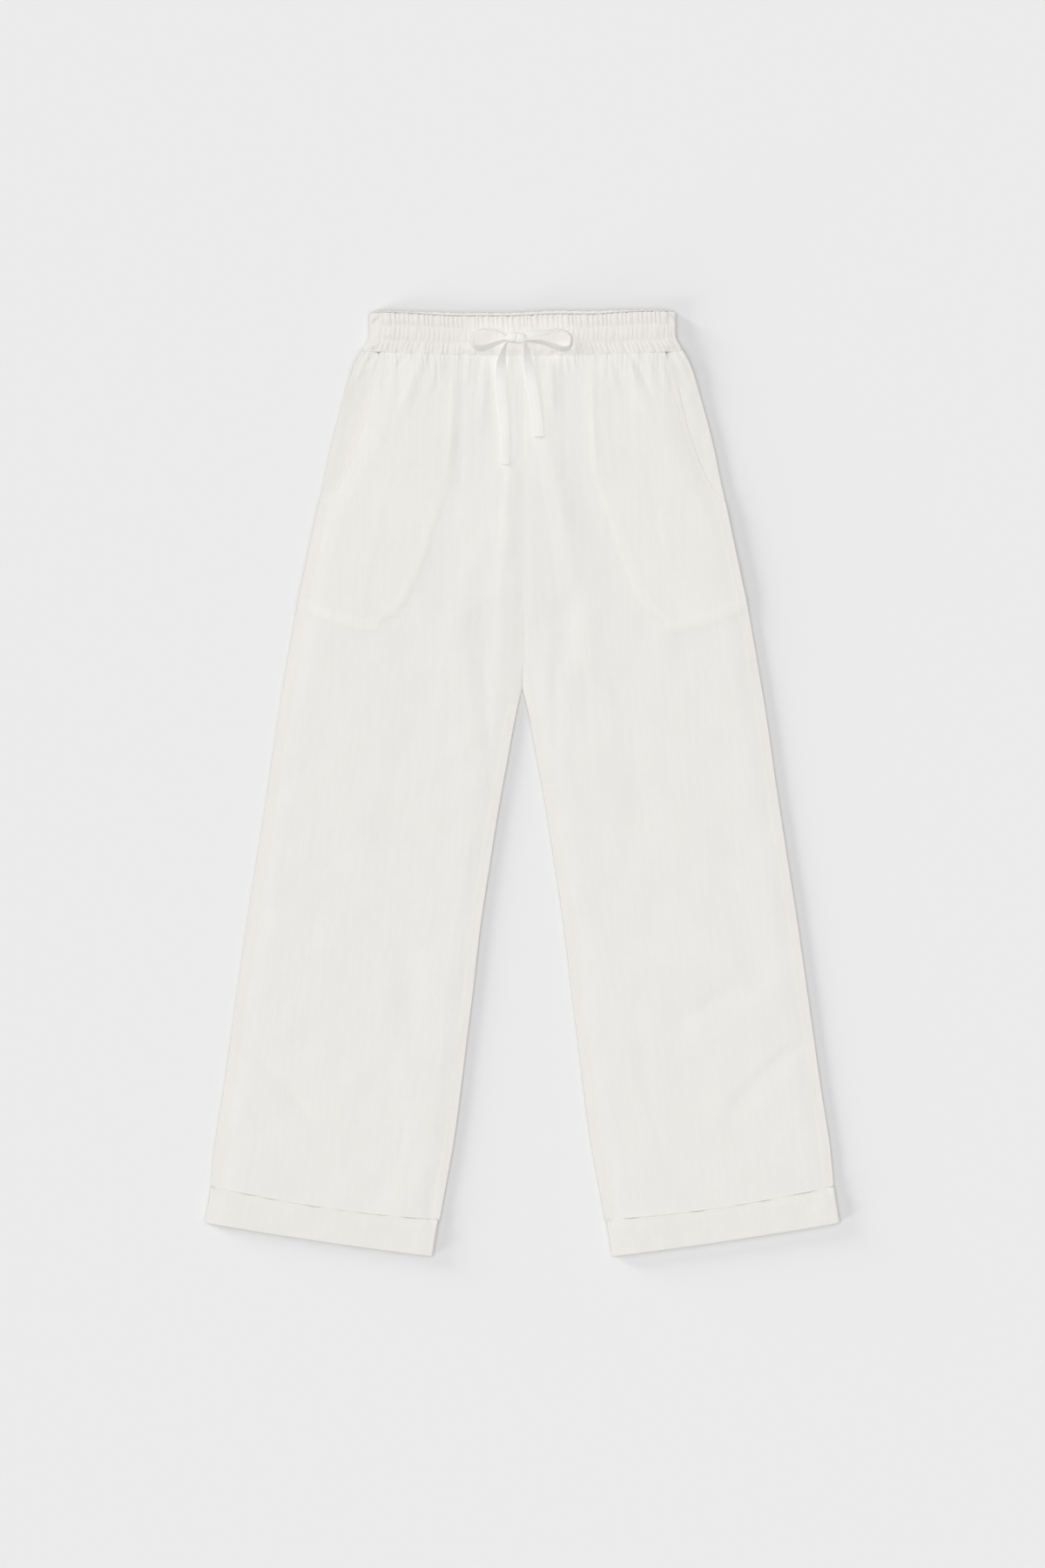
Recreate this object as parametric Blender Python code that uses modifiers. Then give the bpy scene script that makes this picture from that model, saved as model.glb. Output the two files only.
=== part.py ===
"""Linen drawstring trousers laid flat, front side up.

Metres, +Z up. The garment lies on z = 0 with its waist towards +Y and its hems
towards -Y, and the origin is under the middle of its box. "Left" and "right" are
the wearer's, so the left leg is on +X. Places on the cloth are given by their
distance out from the centre line (across) and down from the waist seam (drop).
"""

import math

import bmesh
import bpy
from mathutils import Vector

# Cloth
CLOTH = 0.0012             # one layer of linen
SEAM_GAP = 0.0003          # between pieces that meet at a seam or lie on each other
LAYER = CLOTH + SEAM_GAP   # from the top of one layer to the top of the next

# Waistband: one gathered casing that runs all the way round
SEAM_Y = 0.4672            # the waist seam
BAND_HALF = 0.1655         # half the width of the band, laid flat
BAND_FOOT_HALF = 0.1725    # half its width where it spreads to meet the legs
BAND_SPREAD = 0.42         # share of its height, from the seam, over which it spreads
BAND_WALL = 0.0022         # two layers of cloth with the elastic between them
BAND_SIDE_RADIUS = 0.0026  # fold at each side
BAND_HEIGHT = 0.0074       # top of the front above the table
BAND_FILL_REACH = 0.022    # how far in from the side the band reaches that height
WAIST_SAG = 0.0046         # the middle of the front hangs this much lower than its ends
GATHERS = 62               # across the front
GATHER_HEIGHT = 0.0008     # crest above the mean
GATHER_UNEVENNESS = 0.25   # share of that height by which a gather may differ
GATHER_SWING = (1.7, 5.0)  # pace of that difference from gather to gather and up the band
GATHER_EDGE = 0.010        # the gathers fade out over this distance at the sides
CHANNEL_SINK = 0.0009      # the casing's stitch rows pull the band in by this much
CHANNEL_ROWS = (0.295, 0.69)  # stitch rows, from the waist seam (0) to the top edge (1)
CHANNEL_HALF = 0.10        # half width of a sunk row, as a share of the band's height

# Legs
CROTCH_DROP = 0.363
LEG_OUT_END = 0.8995       # drop of the hem line at the side seam
LEG_IN_END = 0.9355        # drop of the hem line at the inside leg
HEM_BOW = 0.0052           # the hem line's middle hangs this much lower than its ends
HEM_BOTTOM_BOW = 0.0016    # and the middle of the hem's lower edge this much
LEG_PUFF = 0.0021          # how much the front lifts off the back in the lower leg
HIP_PUFF = 0.0028          # the same over the hips
PUFF_CHANGE = (0.15, 0.60)  # drops between which the one passes into the other
PUFF_REACH = 0.030         # how far in from an edge the cloth reaches that lift
FOLD_OUTER_EDGE = (0.0, 0.012)     # folds grow to full height over this distance from the
FOLD_INNER_EDGE = (-0.004, 0.010)  # outer edge, and over this one from the inner edge
FOLD_RISE = (-0.2, 0.2)    # shares of a fold's length between which it rises
FOLD_FADE = (0.75, 1.2)    # and between which it fades out
WAIST_LIFT = 0.0022        # extra height where the panels join the gathered band
WAIST_LIFT_REACH = 0.060   # the drop over which it fades
WAIST_FULLNESS = 0.35      # share of the puff that is left at the waist seam
PUCKER_HEIGHT = 0.0007     # gathers that run from the band into the front panels
PUCKER_PITCH = 0.0150
PUCKER_FADE = 0.045
PUCKER_SWING = (2.0, 31.0)  # how far and how fast their pitch strays across the front
CENTRE_FULLNESS = 0.45     # share of the puff that is left at the centre front seam
CENTRE_DIP_REACH = 0.012   # half width of the valley along it
CENTRE_SEAM_END = 0.27     # drop at which it starts to turn into the inside leg
HIP_ROW_CROWDING = 1.3     # rows over the hips stand closer together near the waist
POCKET_BOW = 0.004         # how far the bag's lower edge bows down

# Hem: a turned-up tube at the end of each leg
HEM_WALL = 0.0020
HEM_SIDE_RADIUS = 0.0023
HEM_HEIGHT = 0.0056
HEM_FILL_REACH = 0.020
HEM_TOP_OUT = (0.3362, 0.9000)       # across, drop of each corner of the hem
HEM_TOP_IN = (0.0905, 0.9360)
HEM_BOTTOM_OUT = (0.3425, 0.9394)
HEM_BOTTOM_IN = (0.0968, 0.9757)

# Drawstring: a stitched flat tape
TAPE_WIDTH = 0.0105
TAPE_THICKNESS = 0.0022
TAPE_STEP = (0.005, 0.030)  # drops between which it comes down from the band to the front

COLOURS = {
    "cloth": (0.815, 0.803, 0.768),
    "band": (0.790, 0.775, 0.738),
    "pocket": (0.800, 0.785, 0.745),
    "hem": (0.812, 0.795, 0.755),
    "tape": (0.830, 0.822, 0.795),
}
CLOTH_ROUGHNESS = 0.9

# Top edge of the waistband: across (+ to the wearer's left), height of the front's edge and
# of the back's above the waist seam
BAND_TOP = (
    (-0.1655, 0.0345, 0.0358), (-0.1600, 0.0398, 0.0412), (-0.1504, 0.0418, 0.0436),
    (-0.1194, 0.0405, 0.0430), (-0.0968, 0.0390, 0.0424), (-0.0743, 0.0379, 0.0417),
    (-0.0404, 0.0378, 0.0415), (-0.0094, 0.0379, 0.0417), (0.0160, 0.0391, 0.0432),
    (0.0385, 0.0399, 0.0440), (0.0752, 0.0396, 0.0436), (0.0940, 0.0408, 0.0442),
    (0.1109, 0.0420, 0.0447), (0.1316, 0.0428, 0.0449), (0.1510, 0.0432, 0.0449),
    (0.1600, 0.0392, 0.0406), (0.1655, 0.0335, 0.0348),
)

# Side seam: drop, across
SIDE_SEAM = (
    (0.000, 0.1735), (0.015, 0.1814), (0.038, 0.1889), (0.085, 0.2021), (0.110, 0.2080),
    (0.137, 0.2134), (0.165, 0.2198), (0.200, 0.2272), (0.235, 0.2346), (0.273, 0.2426),
    (0.325, 0.2519), (0.391, 0.2629), (0.460, 0.2728), (0.532, 0.2838), (0.600, 0.2945),
    (0.660, 0.3032), (0.720, 0.3117), (0.770, 0.3186), (0.800, 0.3230), (0.825, 0.3271),
    (0.850, 0.3310), (0.875, 0.3338), (0.900, 0.3357), (0.925, 0.3370),
)
# Inside leg: drop, across
INSIDE_LEG = (
    (CROTCH_DROP, 0.0), (0.390, 0.0066), (0.440, 0.0159), (0.500, 0.0266), (0.560, 0.0360),
    (0.610, 0.0437), (0.650, 0.0486), (0.690, 0.0531), (0.740, 0.0594), (0.790, 0.0655),
    (0.840, 0.0720), (0.875, 0.0778), (0.905, 0.0834), (0.940, 0.0898),
)
# Pocket opening: drop, across
POCKET_EDGE = (
    (0.000, 0.1540), (0.043, 0.1690), (0.083, 0.1790), (0.115, 0.1900), (0.137, 0.2000),
    (0.150, 0.2080), (0.161, 0.2200),
)
# Inner edge of the pocket bag: drop, across
BAG_EDGE = (
    (0.000, 0.0830), (0.076, 0.0830), (0.118, 0.0830), (0.155, 0.0935), (0.189, 0.1050),
    (0.220, 0.1145), (0.241, 0.1225), (0.264, 0.1330), (0.280, 0.1460), (0.291, 0.1640),
)
BAG_SIDE_END = 0.266       # drop where the bag's lower edge meets the side seam
BAG_MARGIN = 0.011         # the front stays level this far past the bag's edge,
BAG_BLEND = 0.014          # then falls to the back over this distance

# Largest folds of the front: wearer's side, start and end (across, drop), half width,
# height (a ridge above zero, a trough below)
FOLDS = (
    ("both", 0.121, 0.004, 0.141, 0.062, 0.0060, 0.0013),
    ("both", 0.108, 0.010, 0.127, 0.060, 0.0060, -0.0009),
    ("both", 0.074, 0.010, 0.081, 0.125, 0.0065, 0.0012),
    ("both", 0.096, 0.006, 0.100, 0.040, 0.0050, 0.0009),
    ("right", 0.041, 0.010, 0.046, 0.080, 0.0060, 0.0010),
    ("left", 0.031, 0.010, 0.033, 0.060, 0.0060, 0.0010),
    ("right", 0.015, 0.118, 0.024, 0.255, 0.0070, 0.0016),
    ("left", 0.034, 0.120, 0.062, 0.255, 0.0080, 0.0016),
    ("left", 0.065, 0.258, 0.084, 0.310, 0.0090, 0.0012),
    ("both", 0.010, 0.120, 0.011, 0.260, 0.0065, -0.0012),
    ("both", 0.040, 0.275, 0.047, 0.345, 0.0120, -0.0016),
    ("both", 0.072, 0.280, 0.066, 0.350, 0.0150, 0.0012),
    ("both", 0.110, 0.330, 0.130, 0.520, 0.0220, -0.0010),
    ("both", 0.170, 0.450, 0.190, 0.660, 0.0250, 0.0008),
    ("both", 0.299, 0.745, 0.222, 0.825, 0.0100, -0.0012),
    ("left", 0.228, 0.683, 0.166, 0.724, 0.0120, -0.0009),
    ("right", 0.120, 0.640, 0.118, 0.760, 0.0150, -0.0009),
)

# The tape's stretches. A row is one place on its centre line: across from the centre
# line (+ to the wearer's left), drop from the waist seam, height above what lies under
# it, roll of the tape (0 lies flat, 90 stands on edge), width as a share of the tape's.
TAIL_RIGHT = (
    (-0.0180, -0.0072, 0.0048, 80, 0.72), (-0.0203, 0.0000, 0.0047, 58, 0.86),
    (-0.0223, 0.0095, 0.0036, 30, 1.0), (-0.0231, 0.0190, 0.0022, 10, 1.0),
    (-0.0231, 0.0340, 0.0016, 0, 1.0), (-0.0218, 0.0520, 0.0016, 0, 1.0),
    (-0.0198, 0.0700, 0.0016, 0, 0.97), (-0.0182, 0.0900, 0.0017, 4, 0.86),
    (-0.0182, 0.1080, 0.0018, 6, 0.78), (-0.0183, 0.1225, 0.0016, 0, 0.74),
)
TAIL_LEFT = (
    (0.0030, -0.0070, 0.0046, 62, 0.78), (0.0048, 0.0030, 0.0040, 36, 0.92),
    (0.0070, 0.0150, 0.0026, 12, 1.0), (0.0092, 0.0280, 0.0017, 0, 1.0),
    (0.0115, 0.0410, 0.0016, 0, 1.0), (0.0141, 0.0560, 0.0016, 0, 1.0),
    (0.0160, 0.0720, 0.0016, 0, 1.0), (0.0172, 0.0930, 0.0016, 0, 1.08),
)
LOOP_RIGHT = (
    (-0.0195, -0.0172, 0.0048, 92, 0.80), (-0.0240, -0.0210, 0.0048, 96, 0.80),
    (-0.0330, -0.0230, 0.0048, 100, 0.80), (-0.0420, -0.0229, 0.0047, 103, 0.80),
    (-0.0500, -0.0202, 0.0047, 106, 0.80), (-0.0540, -0.0150, 0.0046, 110, 0.80),
    (-0.0540, -0.0085, 0.0046, 115, 0.82), (-0.0498, -0.0038, 0.0045, 122, 0.84),
    (-0.0425, -0.0030, 0.0045, 127, 0.86), (-0.0340, -0.0054, 0.0045, 125, 0.84),
    (-0.0260, -0.0086, 0.0046, 115, 0.80), (-0.0196, -0.0108, 0.0047, 100, 0.78),
)
LOOP_LEFT = (
    (0.0052, -0.0164, 0.0040, 36, 0.86), (0.0115, -0.0184, 0.0041, 37, 0.92),
    (0.0205, -0.0194, 0.0043, 46, 0.88), (0.0300, -0.0211, 0.0046, 62, 0.82),
    (0.0385, -0.0224, 0.0047, 74, 0.80), (0.0460, -0.0210, 0.0047, 75, 0.80),
    (0.0515, -0.0160, 0.0047, 73, 0.80), (0.0528, -0.0098, 0.0046, 68, 0.80),
    (0.0505, -0.0040, 0.0046, 62, 0.80), (0.0450, -0.0019, 0.0045, 57, 0.82),
    (0.0375, -0.0036, 0.0045, 56, 0.82), (0.0285, -0.0072, 0.0045, 58, 0.80),
    (0.0180, -0.0100, 0.0046, 66, 0.78), (0.0053, -0.0106, 0.0047, 84, 0.76),
)
KNOT_PLACE = (-0.0072, -0.0138)    # across, drop of the middle of the knot
KNOT_SIZE = (0.0236, 0.0122, 0.0088)
KNOT_ROUNDING = 0.0030
KNOT_SEGMENTS = 3


# ---------------------------------------------------------------- measuring helpers

def smooth_lookup(rows, position):
    """Value at a position on the smooth curve through rows of (position, value)."""
    if position <= rows[0][0]:
        return rows[0][1]
    if position >= rows[-1][0]:
        return rows[-1][1]
    start = max(i for i in range(len(rows) - 1) if rows[i][0] <= position)

    def slope(i):
        before, after = rows[max(i - 1, 0)], rows[min(i + 1, len(rows) - 1)]
        return (after[1] - before[1]) / (after[0] - before[0])

    (x0, y0), (x1, y1) = rows[start], rows[start + 1]
    span = x1 - x0
    t = (position - x0) / span
    return (y0 * (1 + 2 * t) * (1 - t) ** 2 + slope(start) * span * t * (1 - t) ** 2
            + y1 * t * t * (3 - 2 * t) + slope(start + 1) * span * t * t * (t - 1))


def blend(low, high, position):
    """0 below low, 1 above high, a smooth step between."""
    t = min(max((position - low) / (high - low), 0.0), 1.0)
    return t * t * (3 - 2 * t)


def mix(a, b, t):
    return a + (b - a) * t


def side_seam(drop):
    return smooth_lookup(SIDE_SEAM, drop)


def inside_leg(drop):
    return smooth_lookup(INSIDE_LEG, drop)


def front_outer_edge(drop):
    """The front panel's outer edge: the pocket opening, then the side seam."""
    if drop < POCKET_EDGE[-1][0]:
        return min(smooth_lookup(POCKET_EDGE, drop), side_seam(drop))
    return side_seam(drop)


def waist_sag(across):
    """How far the front of the waist hangs below the seam's ends."""
    return WAIST_SAG * max(0.0, 1 - (across / BAND_HALF) ** 2)


def band_top(across, front):
    """Height of the band's top edge above the waist seam, at the back (front 0) or front (1)."""
    front_edge = smooth_lookup([(x, edge) for x, edge, _back in BAND_TOP], across)
    back_edge = smooth_lookup([(x, edge) for x, _front, edge in BAND_TOP], across)
    return mix(back_edge, front_edge, front)


# ---------------------------------------------------------------- heights

def waist_lift(drop):
    return WAIST_LIFT * (1 - blend(0.0, WAIST_LIFT_REACH, drop))


def bag_cover(across, drop):
    """1 over the pocket bag, 0 clear of it."""
    inside = across - smooth_lookup(BAG_EDGE, drop)
    tip_drop, tip_across = BAG_EDGE[-1]
    reach = (across - tip_across) / (side_seam(BAG_SIDE_END) - tip_across)
    lower = mix(tip_drop, BAG_SIDE_END, min(max(reach, 0.0), 1.0))
    return blend(-BAG_MARGIN - BAG_BLEND, -BAG_MARGIN, min(inside, lower - drop))


def bag_height(drop):
    """Top of the pocket piece, which lies on the back."""
    return CLOTH + LAYER + waist_lift(drop)


def fold_height(across, drop, side):
    """Sum of the folds' ridges and troughs at a place."""
    total = 0.0
    here = Vector((across, drop))
    for wearer_side, x0, d0, x1, d1, half_width, height in FOLDS:
        if wearer_side not in ("both", side):
            continue
        start, along = Vector((x0, d0)), Vector((x1 - x0, d1 - d0))
        t = (here - start).dot(along) / along.length_squared
        if not FOLD_RISE[0] < t < FOLD_FADE[1]:
            continue
        offset = (here - start - along * min(max(t, 0.0), 1.0)).length / half_width
        taper = blend(*FOLD_RISE, t) * (1 - blend(*FOLD_FADE, t))
        total += height * taper * math.exp(-offset * offset)
    return total


def front_height(across, drop, side):
    """Top of the front panel above the table."""
    outer = front_outer_edge(drop) - across
    inner = across - inside_leg(drop)
    puff = mix(HIP_PUFF, LEG_PUFF, blend(*PUFF_CHANGE, drop))
    puff *= mix(WAIST_FULLNESS, 1.0, blend(0.0, WAIST_LIFT_REACH, drop))
    if drop < CROTCH_DROP:
        fullness = mix(CENTRE_FULLNESS, 1.0, blend(0.0, CENTRE_DIP_REACH, across))
        turned = blend(CENTRE_SEAM_END, CROTCH_DROP, drop)
        fullness = mix(fullness, blend(0.0, PUFF_REACH, inner), turned)
    else:
        fullness = blend(0.0, PUFF_REACH, inner)
    fullness *= blend(0.0, PUFF_REACH, outer)
    calm = blend(*FOLD_OUTER_EDGE, outer) * blend(*FOLD_INNER_EDGE, inner)
    pucker = PUCKER_HEIGHT * math.exp(-max(drop, 0.0) / PUCKER_FADE)
    reach, pace = PUCKER_SWING
    pucker *= math.cos(math.tau * across / PUCKER_PITCH + reach * math.sin(pace * across))
    relief = puff * fullness + calm * (fold_height(across, drop, side) + pucker)
    return CLOTH + LAYER + LAYER * bag_cover(across, drop) + waist_lift(drop) + max(relief, 0.0)


def band_height(across, share):
    """Top of the waistband's front, without its gathers; share runs from seam to top."""
    fill = blend(0.0, BAND_FILL_REACH, BAND_HALF - abs(across))
    rise = 2 * BAND_SIDE_RADIUS + (BAND_HEIGHT - 2 * BAND_SIDE_RADIUS) * fill
    for row in CHANNEL_ROWS:
        rise -= CHANNEL_SINK * fill * math.exp(-((share - row) / CHANNEL_HALF) ** 2)
    return rise


def under_tape(across, drop):
    """What the drawstring lies on: the waistband above the seam, the front below it."""
    band = band_height(across, 0.5) + GATHER_HEIGHT
    panel = 0.0
    for spot in (across - TAPE_WIDTH / 2, across, across + TAPE_WIDTH / 2):
        side = "left" if spot > 0 else "right"
        panel = max(panel, front_height(abs(spot), max(drop - WAIST_SAG, 0.0), side))
    return mix(band, panel, blend(*TAPE_STEP, drop))


# ---------------------------------------------------------------- making objects

def finish(name, bm, colour, collection):
    """Give a bmesh its object, collection, material and smooth shading."""
    mesh = bpy.data.meshes.new(name)
    bm.to_mesh(mesh)
    bm.free()
    mesh.shade_smooth()
    obj = bpy.data.objects.new(name, mesh)
    collection.objects.link(obj)
    material = bpy.data.materials.new(name)
    material.use_nodes = True
    shader = material.node_tree.nodes["Principled BSDF"]
    shader.inputs["Base Color"].default_value = (*COLOURS[colour], 1.0)
    shader.inputs["Roughness"].default_value = CLOTH_ROUGHNESS
    shader.inputs["Metallic"].default_value = 0.0
    mesh.materials.append(material)
    return obj


def sheet(name, columns, rows, place, colour, collection, closed=False):
    """An open sheet of columns x rows cells with each corner at place(u, v), u and v 0 to 1.

    A closed sheet's last column is welded to its first, which makes a tube.
    """
    bm = bmesh.new()
    bmesh.ops.create_grid(bm, x_segments=columns, y_segments=rows, size=0.5)
    for vert in bm.verts:
        vert.co = place(vert.co.x + 0.5, vert.co.y + 0.5)
    if closed:
        bmesh.ops.remove_doubles(bm, verts=bm.verts, dist=1e-6)
    bmesh.ops.recalc_face_normals(bm, faces=bm.faces)
    return finish(name, bm, colour, collection)


def thicken(obj, wall):
    """Give a sheet its thickness, away from the side that its faces point to."""
    solidify = obj.modifiers.new("Wall", "SOLIDIFY")
    solidify.thickness = wall
    solidify.offset = -1
    solidify.use_even_offset = False


def face_sheet(obj, upwards):
    """Turn a laid sheet's faces up or down."""
    mesh = obj.data
    total = sum(polygon.normal.z * polygon.area for polygon in mesh.polygons)
    if (total > 0) != upwards:
        mesh.flip_normals()


# ---------------------------------------------------------------- panels

def row_share(v, rows):
    """Spread a leg's rows: v of 0 to 1 gives (share of the hip part, share of the leg part)."""
    hip_rows, leg_rows = rows
    row = v * (hip_rows + leg_rows)
    if row <= hip_rows:
        return (row / hip_rows) ** HIP_ROW_CROWDING, 0.0
    return 1.0, (row - hip_rows) / leg_rows


def leg_place(u, v, rows, outer_edge, sign, sag):
    """X, across, drop and Y of a point of a leg panel; u runs from the outside inwards."""
    hip, leg = row_share(v, rows)
    drop_out = mix(CROTCH_DROP * hip, LEG_OUT_END, leg)
    drop_in = mix(CROTCH_DROP * hip, LEG_IN_END, leg)
    inner = max(inside_leg(drop_in), SEAM_GAP / 2)
    across = mix(outer_edge(drop_out), inner, u)
    drop = mix(drop_out, drop_in, u)
    hang = HEM_BOW * leg * 4 * u * (1 - u)
    if sag:
        hang += waist_sag(across) * (1 - hip) ** 2
    return sign * across, across, drop, SEAM_Y - SEAM_GAP - drop - hang


def make_front(side, sign, collection):
    columns, rows = 24, (16, 9)

    def place(u, v):
        x, across, drop, y = leg_place(u, v, rows, front_outer_edge, sign, sag=True)
        return Vector((x, y, front_height(across, drop, side)))

    obj = sheet(f"front_{side}", columns, sum(rows), place, "cloth", collection)
    face_sheet(obj, upwards=True)
    thicken(obj, CLOTH)


def make_back(side, sign, collection):
    """The back lies on the table, so its sheet is its flat underside."""
    columns, rows = 6, (8, 5)

    def place(u, v):
        x, _across, _drop, y = leg_place(u, v, rows, side_seam, sign, sag=False)
        return Vector((x, y, 0.0))

    obj = sheet(f"back_{side}", columns, sum(rows), place, "cloth", collection)
    face_sheet(obj, upwards=False)
    thicken(obj, CLOTH)


def make_pocket(side, sign, collection):
    """The hip piece that fills the pocket opening and runs on as the pocket bag."""
    columns, rows = 9, 10
    tip_drop, _tip_across = BAG_EDGE[-1]

    def place(u, v):
        drop_out, drop_in = BAG_SIDE_END * v, tip_drop * v
        across = mix(side_seam(drop_out), smooth_lookup(BAG_EDGE, drop_in), u)
        drop = mix(drop_out, drop_in, u)
        hang = waist_sag(across) * (1 - v) ** 2 + POCKET_BOW * v ** 4 * 4 * u * (1 - u)
        y = SEAM_Y - SEAM_GAP - drop - hang
        return Vector((sign * across, y, bag_height(drop)))

    obj = sheet(f"pocket_{side}", columns, rows, place, "pocket", collection)
    face_sheet(obj, upwards=True)
    thicken(obj, CLOTH)


# ---------------------------------------------------------------- tubes laid flat

def flat_tube_section(u, counts, width, radius, crown):
    """A point of a flattened tube's outline: distance in from one side, height, share of front.

    counts are the columns of the back, of each side fold and of the front; crown(distance)
    is the front's height.
    """
    back, fold, front = counts
    column = round(u * (back + 2 * fold + front))
    if column <= back:
        return mix(radius, width - radius, column / back), 0.0, 0.0
    column -= back
    if column <= fold:
        angle = math.pi * column / fold - math.pi / 2
        height = radius * (1 + math.sin(angle))
        return width - radius + radius * math.cos(angle), height, height / (2 * radius)
    column -= fold
    if column <= front:
        distance = mix(width - radius, radius, column / front)
        return distance, crown(distance, column), 1.0
    column -= front
    angle = math.pi * column / fold + math.pi / 2
    height = radius * (1 + math.sin(angle))
    return radius + radius * math.cos(angle), height, height / (2 * radius)


def make_waistband(collection):
    counts = (30, 4, 2 * GATHERS)
    rows = 6

    def place(u, v):
        half = mix(BAND_FOOT_HALF, BAND_HALF, blend(0.0, BAND_SPREAD, v))

        def crown(distance, column):
            across = distance - half
            pace, climb = GATHER_SWING
            wave = 1 - GATHER_UNEVENNESS * (1 - math.sin(pace * column + climb * v))
            wave *= blend(0.0, GATHER_EDGE, half - abs(across)) * (1 if column % 2 else -1)
            wave *= GATHER_HEIGHT
            return band_height(across * BAND_HALF / half, v) + wave

        distance, height, front = flat_tube_section(
            u, counts, 2 * half, BAND_SIDE_RADIUS, crown)
        across = distance - half
        foot = SEAM_Y + SEAM_GAP / 2 - front * waist_sag(across)
        top = SEAM_Y + band_top(across * BAND_HALF / half, front)
        return Vector((across, mix(foot, top, v), height))

    obj = sheet("waistband", sum(counts) + counts[1], rows, place, "band", collection, closed=True)
    thicken(obj, BAND_WALL)


def make_hem(side, sign, collection):
    counts = (8, 4, 14)
    rows = 3

    def place(u, v):
        outer = Vector(HEM_TOP_OUT).lerp(Vector(HEM_BOTTOM_OUT), v)
        inner = Vector(HEM_TOP_IN).lerp(Vector(HEM_BOTTOM_IN), v)
        width = (inner - outer).length

        def crown(distance, _column):
            fill = blend(0.0, HEM_FILL_REACH, min(distance, width - distance))
            return mix(2 * HEM_SIDE_RADIUS, HEM_HEIGHT, fill)

        distance, height, _front = flat_tube_section(
            u, counts, width, HEM_SIDE_RADIUS, crown)
        along = (inner - outer) / width
        share = distance / width
        spot = outer + along * distance
        hang = mix(HEM_BOW, HEM_BOTTOM_BOW, v) * 4 * share * (1 - share)
        return Vector((sign * spot.x, SEAM_Y - spot.y - hang, height))

    obj = sheet(f"hem_{side}", sum(counts) + counts[1], rows, place, "hem", collection, closed=True)
    thicken(obj, HEM_WALL)


# ---------------------------------------------------------------- drawstring

def smooth_route(rows, steps):
    """The rows of a table and steps - 1 smooth rows between each two of them."""
    points = []
    last = len(rows) - 1
    for i in range(last):
        p0, p1, p2, p3 = (rows[max(i - 1, 0)], rows[i], rows[i + 1], rows[min(i + 2, last)])
        for step in range(steps):
            t = step / steps
            points.append(tuple(
                0.5 * (2 * b + (c - a) * t + (2 * a - 5 * b + 4 * c - d) * t * t
                       + (3 * b - a - 3 * c + d) * t ** 3)
                for a, b, c, d in zip(p0, p1, p2, p3)))
    points.append(tuple(rows[last]))
    return points


def make_tape(name, table, collection):
    """A stretch of the flat tape along a table's route."""
    rows = smooth_route(table, 2)
    centres = [Vector((across, SEAM_Y - drop, under_tape(across, drop) + lift))
               for across, drop, lift, _roll, _width in rows]
    last = len(rows) - 1

    def place(u, v):
        i = round(v * last)
        run = (centres[min(i + 1, last)] - centres[max(i - 1, 0)]).normalized()
        sideways = run.cross(Vector((0, 0, 1))).normalized()
        upwards = sideways.cross(run)
        roll = math.radians(rows[i][3])
        across_tape = sideways * math.cos(roll) + upwards * math.sin(roll)
        return centres[i] + across_tape * (u - 0.5) * TAPE_WIDTH * rows[i][4]

    obj = sheet(name, 2, last, place, "tape", collection)
    solidify = obj.modifiers.new("Tape", "SOLIDIFY")
    solidify.thickness = TAPE_THICKNESS
    solidify.offset = 0


def make_knot(collection):
    """The knot of the bow, a soft block over the middle of the band."""
    across, drop = KNOT_PLACE
    floor = band_height(across, 0.5) + GATHER_HEIGHT + SEAM_GAP
    centre = Vector((across, SEAM_Y - drop, floor + KNOT_SIZE[2] / 2))
    bm = bmesh.new()
    bmesh.ops.create_cube(bm, size=1.0)
    bmesh.ops.scale(bm, vec=KNOT_SIZE, verts=bm.verts)
    bmesh.ops.translate(bm, vec=centre, verts=bm.verts)
    obj = finish("drawstring_knot", bm, "tape", collection)
    bevel = obj.modifiers.new("Rounding", "BEVEL")
    bevel.width = KNOT_ROUNDING
    bevel.segments = KNOT_SEGMENTS


def main():
    for obj in list(bpy.data.objects):
        bpy.data.objects.remove(obj)
    collection = bpy.data.collections.new("linen_drawstring_trousers")
    bpy.context.scene.collection.children.link(collection)
    make_waistband(collection)
    for side, sign in (("left", 1), ("right", -1)):
        make_back(side, sign, collection)
        make_pocket(side, sign, collection)
        make_front(side, sign, collection)
        make_hem(side, sign, collection)
    make_tape("drawstring_tail_right", TAIL_RIGHT, collection)
    make_tape("drawstring_tail_left", TAIL_LEFT, collection)
    make_tape("drawstring_loop_right", LOOP_RIGHT, collection)
    make_tape("drawstring_loop_left", LOOP_LEFT, collection)
    make_knot(collection)


main()
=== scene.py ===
"""White linen drawstring trousers, laid flat with the front up.

Metres, +Z up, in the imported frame's own place: the waist is towards +Y and the hems
towards -Y. "Left" and "right" are the wearer's, so the left leg is on +X. Places on the
cloth are given by their distance out from the centre line (across) and down from the
waist seam (drop), as for the solids, and each shell lies on its solid's form.
"""

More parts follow.
